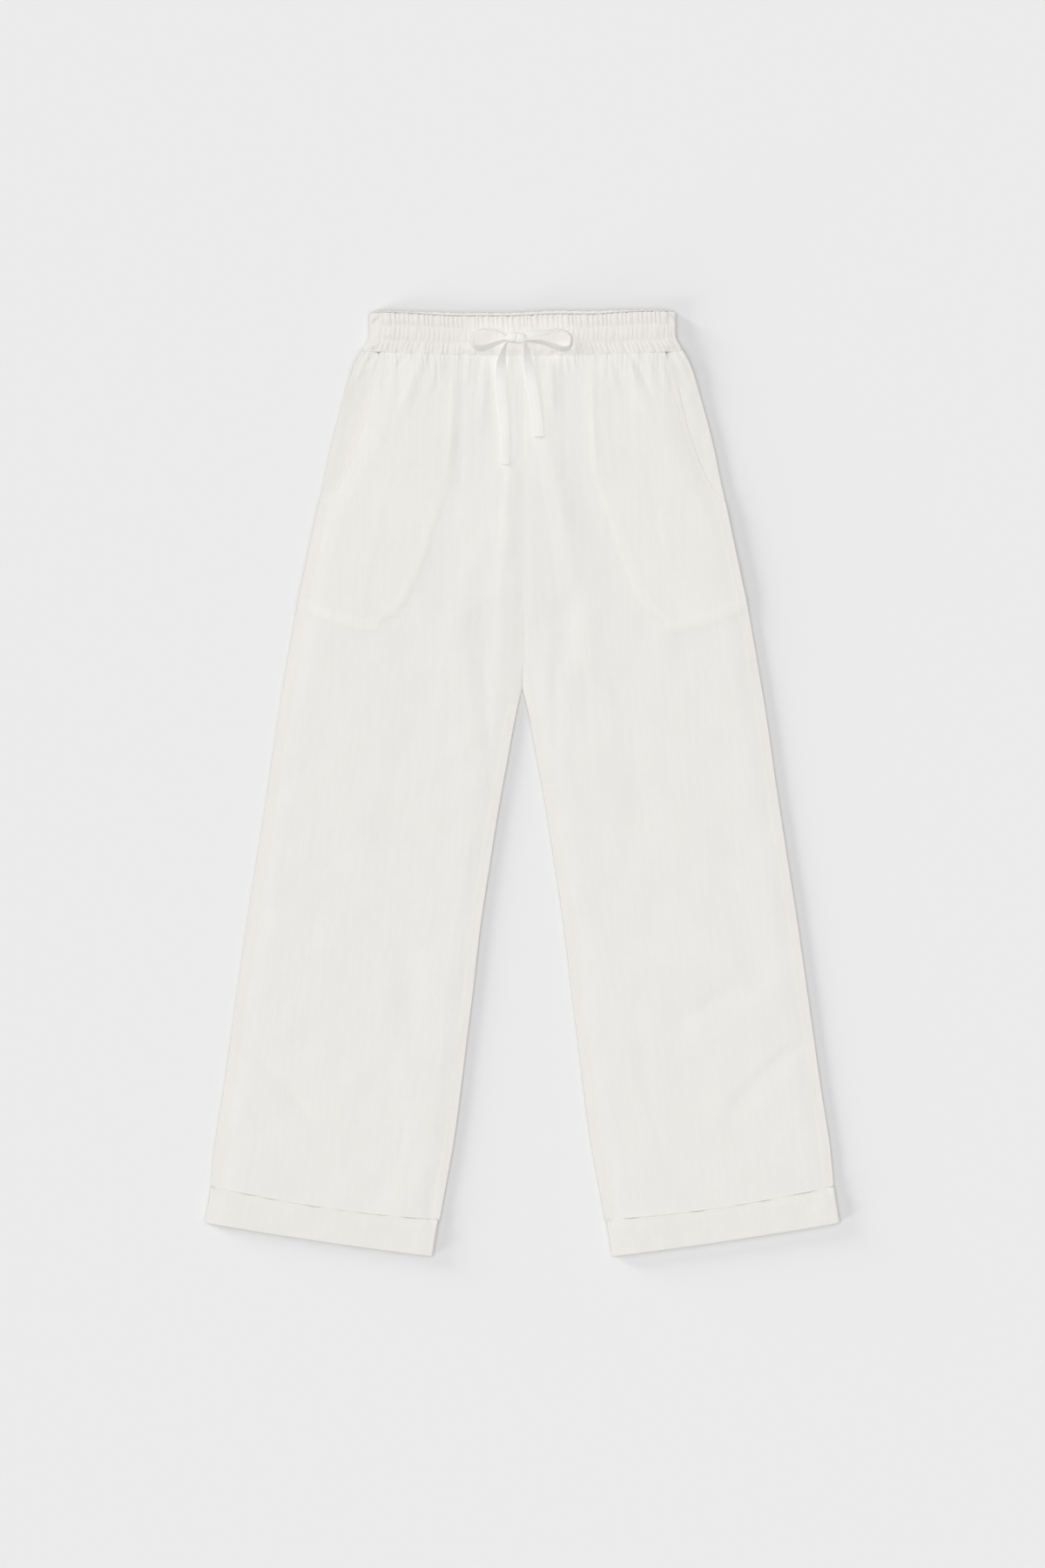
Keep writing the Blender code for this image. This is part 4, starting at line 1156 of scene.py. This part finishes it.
def make_waistband(context):
    """The gathered casing: fine uneven gathers pinched by two stitch rows, ruffled edges."""
    settings = context.scene.trousers
    band = settings.waistband
    share = np.concatenate([np.linspace(0.0, 0.06, 5)[:-1], np.linspace(0.06, 0.86, 28),
                            np.linspace(0.86, 1.0, 15)[1:]]).reshape(-1, 1)
    half = mix(BAND_FOOT_HALF, BAND_HALF, blend(0.0, BAND_SPREAD, share))
    counts = (360, 8, 10 * band.gathers)
    distance, height, front = tube_outline(counts, 2 * half, BAND_SIDE_RADIUS)
    across = distance - half
    even = across * BAND_HALF / half
    inset = half - np.abs(across)
    above_seam = share * BAND_DEPTH
    wave = gather_wave(even, share, band)
    crown = band_form(even, share) + band.height * wave * blend(0.0, 0.010, inset)
    for _side, sign in SIDES:
        crown += fold_height(sign * across, above_seam, "both", BAND_CREASES)
    for row in CHANNEL_ROWS:
        crown -= CHANNEL_GROOVE * bell((share - row) * BAND_DEPTH, 0.0011)
    crown += 0.00016 * ripple(across, above_seam, 0.018, 81)
    crown -= BAND_TOP_DIP * blend(0.90, 1.0, share)
    sewn = 1 - blend(0.0, 0.16, share)
    crown = mix(crown, seam_height(across) + 0.0002 + 0.5 * band.height * wave, sewn)
    crown = np.maximum(crown, 2 * BAND_SIDE_RADIUS - 0.0004)
    height = np.where(front >= 1.0, crown, height)

    at_edge = np.maximum(1 - blend(0.0, 0.09, share), blend(0.93, 1.0, share))
    wall = mix(band.edge, mix(band.wall, band.edge, at_edge), front)
    ruffle = band.ruffle * (0.6 * gather_wave(even, 1.0 + 0.0 * share, band)
                            + 0.7 * wander(across, 0.021, 83))
    back_wave = 0.5 * (1 + np.cos(TAU * (across / 0.0053 + 0.4 * wander(across, 0.04, 82))))
    back_ruffle = band.ruffle * (0.7 * back_wave + 0.9 * wander(across, 0.017, 84) - 0.5)
    foot = SEAM_Y + wall[:1] / 2 - front * waist_sag(across)
    ruffles = mix(back_ruffle, ruffle, front) * blend(0.0, 0.012, inset)
    top = SEAM_Y + band_top(even, front) - wall[-1:] / 2 + ruffles
    y = mix(foot, top, share)

    beyond = y - SEAM_Y - band_top(even, 1.0)
    curl = band.curl * blend(-0.0024, 0.0012, beyond) + 0.00035 * back_wave
    height = np.where(front <= 0.0, curl * blend(0.0, 0.012, inset), height)
    picked = [*range(0, 30, 3), *range(30, len(share))]
    points = rimmed_tube(np.stack([across, y, height], axis=-1), wall, picked)
    material = linen("Gathered white linen", band.colour, settings.linen.thread_pitch)
    obj = lay_tube("waistband", points, material, "gathered_band")


def make_hem(side, sign, context):
    """One hem, a turned-up double end with small puckers along its stitching."""
    cloth = context.scene.trousers.linen
    v = np.concatenate([np.linspace(0.0, 0.08, 4)[:-1], np.linspace(0.08, 1.0, 16)]).reshape(-1, 1)
    outer = mix(np.array(HEM_TOP_OUT), np.array(HEM_BOTTOM_OUT), v)
    inner = mix(np.array(HEM_TOP_IN), np.array(HEM_BOTTOM_IN), v)
    width = np.linalg.norm(inner - outer, axis=1).reshape(-1, 1)
    distance, height, front = tube_outline((60, 8, 150), width, HEM_SIDE_RADIUS)
    share = distance / width
    across = mix(outer[:, :1], inner[:, :1], share)
    drop = mix(outer[:, 1:], inner[:, 1:], share)
    inset = np.minimum(distance, width - distance)
    crown = mix(2 * HEM_SIDE_RADIUS, HEM_HEIGHT, blend(0.0, HEM_FILL_REACH, inset))
    seed = 91 if side == "left" else 95
    puckers = 0.00016 * np.exp(-v / 0.22) * wander(distance, 0.016, seed)
    crumple = (0.00016 * ripple(across, drop, 0.030, seed + 1)
               + 0.00005 * ripple(across, drop, 0.009, seed + 2))
    crown += blend(0.0, 0.012, inset) * (puckers + crumple)
    sewn = (1 - blend(0.0, 0.22, v)) * blend(0.0, 0.008, inset)
    crown = mix(crown, front_form(across, drop, side) + 0.0001, sewn)
    height = np.where(front >= 1.0, crown, height)
    hang = mix(HEM_BOW, HEM_BOTTOM_BOW, v) * bow(share)
    wobble = 0.0004 * wander(distance, 0.060, seed + 3) * (1 - v)
    wall = mix(cloth.wall, HEM_WALL, blend(0.0, 0.15, v)) + 0.0 * distance
    pulled = mix(-wall[:1] / 2, wall[-1:] / 2, v)
    points = np.stack([sign * across, SEAM_Y - drop - hang + wobble + pulled, height], axis=-1)
    points = rimmed_tube(points[::-1], wall[::-1], range(0, len(v), 2))
    material = linen("Washed white linen, hem", cloth.hem, cloth.thread_pitch)
    obj = lay_tube(f"hem_{side}", points, material, "hem_linen")


# ---------------------------------------------------------------- drawstring


def squared(wave, power):
    """A sine or cosine that makes a round outline squarer the smaller the power is."""
    return np.sign(wave) * np.abs(wave) ** power


def tape_mesh(name, rows, settings, end_share, seed):
    """A stitched flat tape along a route, and its centre line.

    end_share is how much thicker the finished end is, seed varies its crumple.
    """
    route = smooth_route(rows, TAPE_STEPS)
    centres = np.array([(x, SEAM_Y - d, float(under_tape(x, d, settings.width)) + lift)
                        for x, d, lift in route[:, :3]])
    run = unit(np.gradient(centres, axis=0))
    sideways = unit(np.cross(run, (0.0, 0.0, 1.0)))
    upwards = np.cross(sideways, run)
    roll = np.radians(route[:, 3:4])
    wide = sideways * np.cos(roll) + upwards * np.sin(roll)
    thick = np.cross(wide, run)
    along = distance_along(centres)

    angle = np.linspace(0.0, TAU, TAPE_SIDES, endpoint=False)
    side = squared(np.cos(angle), TAPE_FLATNESS)
    lift = squared(np.sin(angle), TAPE_FLATNESS)
    seam = 1 - 0.30 * bell(np.abs(side) - 0.70, 0.12)      # edge-stitched grooves
    finished = end_share * bell(along[-1] - along, 0.0045)
    crumple = 0.10 * ripple(along[:, None], side * 0.006, 0.009, seed)
    half_wide = settings.width / 2 * route[:, 4] * (1 + 0.02 * wander(along, 0.03, seed + 1))
    half_thick = settings.thickness / 2 * 0.92 * seam * (1 + finished[:, None] + crumple)
    rings = (centres[:, None] + wide[:, None] * (side * half_wide[:, None])[..., None]
             + thick[:, None] * (lift * half_thick)[..., None])
    points = np.concatenate([np.repeat(centres[:1, None], TAPE_SIDES, axis=1), rings,
                             np.repeat(centres[-1:, None], TAPE_SIDES, axis=1)])
    around = np.linspace(0.0, 2.2 * settings.width, TAPE_SIDES + 1)
    uv = uv_grid(around, np.concatenate([[0.0], along, [along[-1]]]))
    mesh = grid_mesh(name, points, uv, closed_columns=True)
    weld(mesh)
    return mesh, centres


def knot_mesh():
    """The bow's knot: a soft bundle with the tape's turns slanting over it."""
    rows, sides = 56, 64
    across, drop = KNOT_PLACE
    length, depth, thickness = KNOT_SIZE
    floor = float(band_form(across, 0.5)) + SOLID_GATHER_HEIGHT + SEAM_GAP
    along = np.linspace(-1.0, 1.0, rows).reshape(-1, 1)
    angle = np.linspace(0.0, TAU, sides, endpoint=False)
    bundle = (1 - np.abs(along) ** KNOT_BLUNT) ** (1 / KNOT_BLUNT)
    turns = 1.15 * along + angle / TAU + 0.05 * np.sin(3 * angle)
    crease = np.abs(np.cos(math.pi * (turns + 0.18)))
    relief = 1 - 0.17 * bell(crease, 0.28) + 0.03 * ripple(
        along * 0.01, angle * 0.004, 0.008, 101)
    x = across + along * length / 2 + 0.0 * angle
    y = SEAM_Y - drop + bundle * relief * squared(np.cos(angle), 0.8) * depth / 2 - 0.0008 * along
    z = floor + thickness / 2 + bundle * relief * squared(np.sin(angle), 0.8) * thickness / 2
    uv = uv_grid(np.linspace(0.0, 0.034, sides + 1), np.linspace(0.0, length, rows))
    mesh = grid_mesh("drawstring_knot_cloth", np.stack([x, y, z], axis=-1), uv,
                     closed_columns=True)
    weld(mesh)
    return mesh


# ---------------------------------------------------------------- stitching


def stitch_tree():
    """Geometry Nodes that sew a line: a short rounded stitch at each step along it."""
    tree = bpy.data.node_groups.new("Stitch line", "GeometryNodeTree")
    for name, way, kind in (
            ("Geometry", "INPUT", "Geometry"), ("Pitch", "INPUT", "Float"),
            ("Stitch length", "INPUT", "Float"), ("Thread", "INPUT", "Float"),
            ("Seed", "INPUT", "Int"), ("Material", "INPUT", "Material"),
            ("Geometry", "OUTPUT", "Geometry")):
        tree.interface.new_socket(name=name, in_out=way, socket_type=f"NodeSocket{kind}")
    given = add(tree, "NodeGroupInput").outputs
    line = add(tree, "GeometryNodeMeshToCurve", {"Mesh": given["Geometry"]})
    stepped = add(tree, "GeometryNodeResampleCurve", {
        "Curve": line.outputs["Curve"], "Length": given["Pitch"]}, mode="LENGTH")
    capsule = add(tree, "GeometryNodeMeshUVSphere", {"Segments": 6, "Rings": 4, "Radius": 0.5})
    size = add(tree, "ShaderNodeCombineXYZ", {
        "X": given["Stitch length"], "Y": given["Thread"], "Z": given["Thread"]})
    shaped = add(tree, "GeometryNodeTransform", {
        "Geometry": capsule.outputs["Mesh"], "Scale": size.outputs["Vector"]})
    tangent = add(tree, "GeometryNodeInputTangent")
    turned = add(tree, "FunctionNodeAlignRotationToVector", {
        "Vector": tangent.outputs["Tangent"]}, axis="X")
    small = add(tree, "FunctionNodeRandomValue", {
        "Min": (-0.02, -0.04, -0.10), "Max": (0.02, 0.04, 0.10), "Seed": given["Seed"]},
        data_type="FLOAT_VECTOR")
    loose = add(tree, "FunctionNodeEulerToRotation", {"Euler": small.outputs[0]})
    both = add(tree, "FunctionNodeRotateRotation", {
        "Rotation": turned.outputs["Rotation"], "Rotate By": loose.outputs["Rotation"]},
        rotation_space="LOCAL")
    placed = add(tree, "GeometryNodeInstanceOnPoints", {
        "Points": stepped.outputs["Curve"], "Instance": shaped.outputs["Geometry"],
        "Rotation": both.outputs["Rotation"]})
    real = add(tree, "GeometryNodeRealizeInstances", {"Geometry": placed.outputs["Instances"]})
    painted = add(tree, "GeometryNodeSetMaterial", {
        "Geometry": real.outputs["Geometry"], "Material": given["Material"]})
    add(tree, "NodeGroupOutput", {"Geometry": painted.outputs["Geometry"]})
    return tree


def cotton_thread(settings):
    """Spun cotton sewing thread: matt, a shade whiter than the cloth, with a faint twist."""
    material = bpy.data.materials.get("Spun cotton thread")
    if material:
        return material
    material = bare_material("Spun cotton thread")
    tree = material.node_tree
    place = add(tree, "ShaderNodeTexCoord").outputs["Object"]
    twist = add(tree, "ShaderNodeTexNoise", {"Vector": place, "Scale": 900.0, "Detail": 1.0})
    shade = add(tree, "ShaderNodeMix", {
        MIX_FACTOR: twist.outputs["Fac"], MIX_A: (*[0.94 * c for c in settings.colour], 1.0),
        MIX_B: (*settings.colour, 1.0)}, data_type="RGBA").outputs[MIX_COLOUR]
    bump = add(tree, "ShaderNodeBump", {
        "Height": twist.outputs["Fac"], "Strength": 0.3, "Distance": 0.0001})
    shader = add(tree, "ShaderNodeBsdfPrincipled", {
        "Base Color": shade, "Roughness": 0.75, "IOR": 1.5, "Specular IOR Level": 0.3,
        "Sheen Weight": 0.1, "Normal": bump.outputs["Normal"]})
    add(tree, "ShaderNodeOutputMaterial", {"Surface": shader.outputs["BSDF"]})
    return material


def line_on(name, across, level, lift):
    """Places along a line that lie on top of a piece, raised by lift."""
    shown = bpy.data.objects[name].evaluated_get(bpy.context.evaluated_depsgraph_get())
    line = []
    for x, y in zip(across, level):
        hit, place, _normal, _index = shown.ray_cast(Vector((x, y, 0.1)), Vector((0, 0, -1)))
        if not hit:
            raise RuntimeError(f"nothing of {name} lies under a stitch at {x:.3f}, {y:.3f}")
        line.append((x, y, place.z + lift))
    return line


def sew(name, lines, slot, settings):
    """Stitches along lines of points, as one plain mesh."""
    mesh = bpy.data.meshes.new(name)
    vertices, edges = [], []
    for line in lines:
        start = len(vertices)
        vertices += line
        edges += [(start + i, start + i + 1) for i in range(len(line) - 1)]
    mesh.from_pydata(vertices, edges, [])
    obj = put_in_scene(name, mesh)
    tree = bpy.data.node_groups.get("Stitch line") or stitch_tree()
    modifier = obj.modifiers.new("Stitch line", "NODES")
    modifier.node_group = tree
    thread = cotton_thread(settings)
    values = {"Pitch": settings.pitch, "Stitch length": settings.length,
              "Thread": settings.thread, "Seed": settings.seed, "Material": thread}
    for item in tree.interface.items_tree:
        if item.in_out == "INPUT" and item.name in values:
            modifier[item.identifier] = values[item.name]
    bpy.context.view_layer.update()
    graph = bpy.context.evaluated_depsgraph_get()
    made = bpy.data.meshes.new_from_object(obj.evaluated_get(graph))
    if not made.polygons:
        raise RuntimeError(f"{name} has no stitches")
    bpy.data.objects.remove(obj)
    made.name = name
    return piece(name, made, thread, slot)


# ---------------------------------------------------------------- operators


def leave_unblocked(obj):
    """Let the second dome's light past a piece of the thin tape, which hardly shades."""
    tape = bpy.data.collections["Drawstring"]
    tape.objects.link(obj)
    tape.collection_objects[-1].light_linking.link_state = "EXCLUDE"


class TROUSERS_OT_stage(bpy.types.Operator):
    """Lay the pale floor, hang the soft lamps and set the camera straight above"""
    bl_idname = "trousers.stage"
    bl_label = "Stage"

    def execute(self, context):
        settings = context.scene.trousers.stage
        bpy.ops.mesh.primitive_plane_add(size=400.0)
        floor = context.object
        floor.name = "floor"
        floor.data.transform(Matrix.Translation((0.0, 0.0, -FLOOR_GAP)))
        # Matt paper scatters light evenly and has no shine at all
        paper = bpy.data.materials.new("Matt studio paper")
        paper.use_nodes = True
        shader = paper.node_tree.nodes["Principled BSDF"]
        shader.inputs["Base Color"].default_value = (*settings.floor, 1.0)
        shader.inputs["Roughness"].default_value = 1.0
        shader.inputs["Specular IOR Level"].default_value = 0.0
        floor.data.materials.append(paper)

        bpy.ops.mesh.primitive_uv_sphere_add(radius=40.0, segments=32, ring_count=16)
        backdrop = context.object
        backdrop.name = "backdrop"
        # The paper far behind is evenly lit, so it glows and shows no shade of its own
        glow = bare_material("Backdrop paper")
        light = add(glow.node_tree, "ShaderNodeEmission", {"Color": (*settings.backdrop, 1.0)})
        add(glow.node_tree, "ShaderNodeOutputMaterial", {"Surface": light.outputs[0]})
        backdrop.data.materials.append(glow)
        for ray in ("diffuse", "glossy", "transmission", "volume_scatter", "shadow"):
            setattr(backdrop, f"visible_{ray}", False)

        world = bpy.data.worlds.new("Room")
        world.use_nodes = True
        room = world.node_tree.nodes["Background"]
        room.inputs["Color"].default_value = (1.0, 1.0, 1.0, 1.0)
        room.inputs["Strength"].default_value = settings.ambient
        context.scene.world = world

        receivers = {}
        for name, state in (("Floor only", "INCLUDE"), ("All but the floor", "EXCLUDE")):
            receivers[name] = bpy.data.collections.new(name)
            receivers[name].objects.link(floor)
            receivers[name].collection_objects[0].light_linking.link_state = state
        tape = bpy.data.collections.new("Drawstring")
        dome, past_tape = (1 - PAST_TAPE) * settings.dome, PAST_TAPE * settings.dome
        # name, strength, direction the light travels, how wide the lamp looks (degrees), on what.
        # The skims meet the floor at a slant, so they are divided by their direction's drop.
        lamps = (
            ("Dome", dome, (0.0, 0.0, -1.0), 120.0, "All but the floor"),
            ("Dome past the tape", past_tape, (0.0, 0.0, -1.0), 120.0, "All but the floor"),
            ("Overhead", settings.overhead, (0.0, 0.0, -1.0), 108.0, "Floor only"),
            ("Key", settings.key, (0.82, -0.38, -0.42), 28.0, "All but the floor"),
            ("Skim from the upper left", settings.skim / 0.122, (0.860, -0.496, -0.122), 13.0,
             "Floor only"),
            ("Skim from the lower left", settings.skim / 0.158, (0.855, 0.494, -0.158), 16.0,
             "Floor only"),
        )
        for name, strength, direction, angle, lit in lamps:
            data = bpy.data.lights.new(name, "SUN")
            data.energy = strength
            data.angle = math.radians(angle)
            lamp = put_in_scene(name, data)
            lamp.rotation_euler = Vector(direction).to_track_quat("-Z", "Y").to_euler()
            lamp.light_linking.receiver_collection = receivers[lit]
            if name == "Dome past the tape":
                lamp.light_linking.blocker_collection = tape

        view = bpy.data.cameras.new("Camera")
        view.lens = settings.lens
        view.sensor_width = 36.0
        view.clip_end = 500.0
        camera = put_in_scene("Camera", view)
        camera.location = (0.0, SEAM_Y - SEAM_IN_VIEW, settings.camera_height)
        context.scene.camera = camera
        context.scene.view_settings.view_transform = "Standard"
        return {"FINISHED"}


class TROUSERS_OT_drawstring(bpy.types.Operator):
    """Tie the flat tape in a bow with two loops, two tails and a knot"""
    bl_idname = "trousers.drawstring"
    bl_label = "Drawstring"

    def execute(self, context):
        settings = context.scene.trousers.drawstring
        tape = linen("White linen tape", settings.colour, 0.0007, slub=0.012)
        knot = piece("drawstring_knot_cloth", knot_mesh(), tape, "tape", "drawstring_knot")
        leave_unblocked(knot)
        for side, rows, end_share, seed in TAPES:
            name = f"drawstring_{side}_tape"
            mesh, line = tape_mesh(name, rows, settings, end_share, seed)
            obj = piece(name, mesh, tape, "tape",
                        f"drawstring_loop_{side}", f"drawstring_tail_{side}")
            leave_unblocked(obj)
        return {"FINISHED"}


class TROUSERS_OT_backs(bpy.types.Operator):
    """Lay the two back panels"""
    bl_idname = "trousers.backs"
    bl_label = "Backs"

    def execute(self, context):
        for side, sign in SIDES:
            make_back(side, sign, context)
        return {"FINISHED"}


class TROUSERS_OT_pockets(bpy.types.Operator):
    """Lay the two side pockets on the backs"""
    bl_idname = "trousers.pockets"
    bl_label = "Pockets"

    def execute(self, context):
        for side, sign in SIDES:
            make_pocket(side, sign, context)
        return {"FINISHED"}


class TROUSERS_OT_fronts(bpy.types.Operator):
    """Lay the two front panels with their gathers, folds and creases"""
    bl_idname = "trousers.fronts"
    bl_label = "Fronts"

    def execute(self, context):
        for side, sign in SIDES:
            make_front(side, sign, context)
        return {"FINISHED"}


class TROUSERS_OT_waistband(bpy.types.Operator):
    """Make the gathered waistband casing"""
    bl_idname = "trousers.waistband"
    bl_label = "Waistband"

    def execute(self, context):
        make_waistband(context)
        return {"FINISHED"}


class TROUSERS_OT_hems(bpy.types.Operator):
    """Turn up the two hems"""
    bl_idname = "trousers.hems"
    bl_label = "Hems"

    def execute(self, context):
        for side, sign in SIDES:
            make_hem(side, sign, context)
        return {"FINISHED"}


class TROUSERS_OT_stitching(bpy.types.Operator):
    """Sew the waistband's two rows, the pocket edges and the hem lines"""
    bl_idname = "trousers.stitching"
    bl_label = "Stitching"

    def execute(self, context):
        settings = context.scene.trousers.stitches
        context.view_layer.update()
        lift = 0.15 * settings.thread

        across = np.linspace(-BAND_STITCHED, BAND_STITCHED, 700)
        foot, crest = SEAM_Y - waist_sag(across), SEAM_Y + band_top(across, 1.0)
        lines = [line_on("waistband_cloth", across, mix(foot, crest, row), lift)
                 for row in CHANNEL_ROWS]
        sew("waistband_stitches", lines, "gathered_band", settings)

        lines = []
        for side, sign in SIDES:
            for inset, _width in FACING_ROWS:
                drop = np.linspace(0.003, 0.150, 160)
                across = front_outer_edge(drop) - 1.03 * inset
                y = SEAM_Y - drop - waist_sag(across) * (1 - drop / CROTCH_DROP) ** 2
                lines.append(line_on(f"front_{side}_cloth", sign * across, y, lift))
        sew("pocket_stitches", lines, "linen", settings)

        lines = []
        for side, sign in SIDES:
            share = np.linspace(0.03, 0.97, 200)
            across = mix(HEM_TOP_OUT[0], HEM_TOP_IN[0], share)
            drop = mix(HEM_TOP_OUT[1], HEM_TOP_IN[1], share) + HEM_STITCHED
            y = SEAM_Y - drop - HEM_BOW * bow(share)
            lines.append(line_on(f"hem_{side}_cloth", sign * across, y, lift))
        sew("hem_stitches", lines, "hem_linen", settings)
        return {"FINISHED"}


class TROUSERS_PT_pieces(bpy.types.Panel):
    """Lists the pieces of the trousers and their settings"""
    bl_label = "Linen trousers"
    bl_space_type = "VIEW_3D"
    bl_region_type = "UI"
    bl_category = "Trousers"

    def draw(self, context):
        layout = self.layout
        for operator in OPERATORS:
            layout.operator(operator.bl_idname)
        settings = context.scene.trousers
        for name in ("linen", "waistband", "drawstring", "stitches", "stage"):
            group = getattr(settings, name)
            box = layout.box()
            box.label(text=name.capitalize())
            for key in group.__annotations__:
                box.prop(group, key)


SETTINGS = (LinenSettings, WaistbandSettings, DrawstringSettings, StitchSettings, StageSettings,
            TrousersSettings)
OPERATORS = (TROUSERS_OT_stage, TROUSERS_OT_drawstring, TROUSERS_OT_backs, TROUSERS_OT_pockets,
             TROUSERS_OT_fronts, TROUSERS_OT_waistband, TROUSERS_OT_hems, TROUSERS_OT_stitching)


def register():
    for cls in (*SETTINGS, *OPERATORS, TROUSERS_PT_pieces):
        bpy.utils.register_class(cls)
    bpy.types.Scene.trousers = PointerProperty(type=TrousersSettings)


def unregister():
    del bpy.types.Scene.trousers
    for cls in reversed((*SETTINGS, *OPERATORS, TROUSERS_PT_pieces)):
        bpy.utils.unregister_class(cls)


def main():
    register()
    bpy.ops.trousers.stage()
    bpy.ops.trousers.drawstring()
    bpy.ops.trousers.backs()
    bpy.ops.trousers.pockets()
    bpy.ops.trousers.fronts()
    bpy.ops.trousers.waistband()
    bpy.ops.trousers.hems()
    bpy.ops.trousers.stitching()


if __name__ == "__main__":
    main()
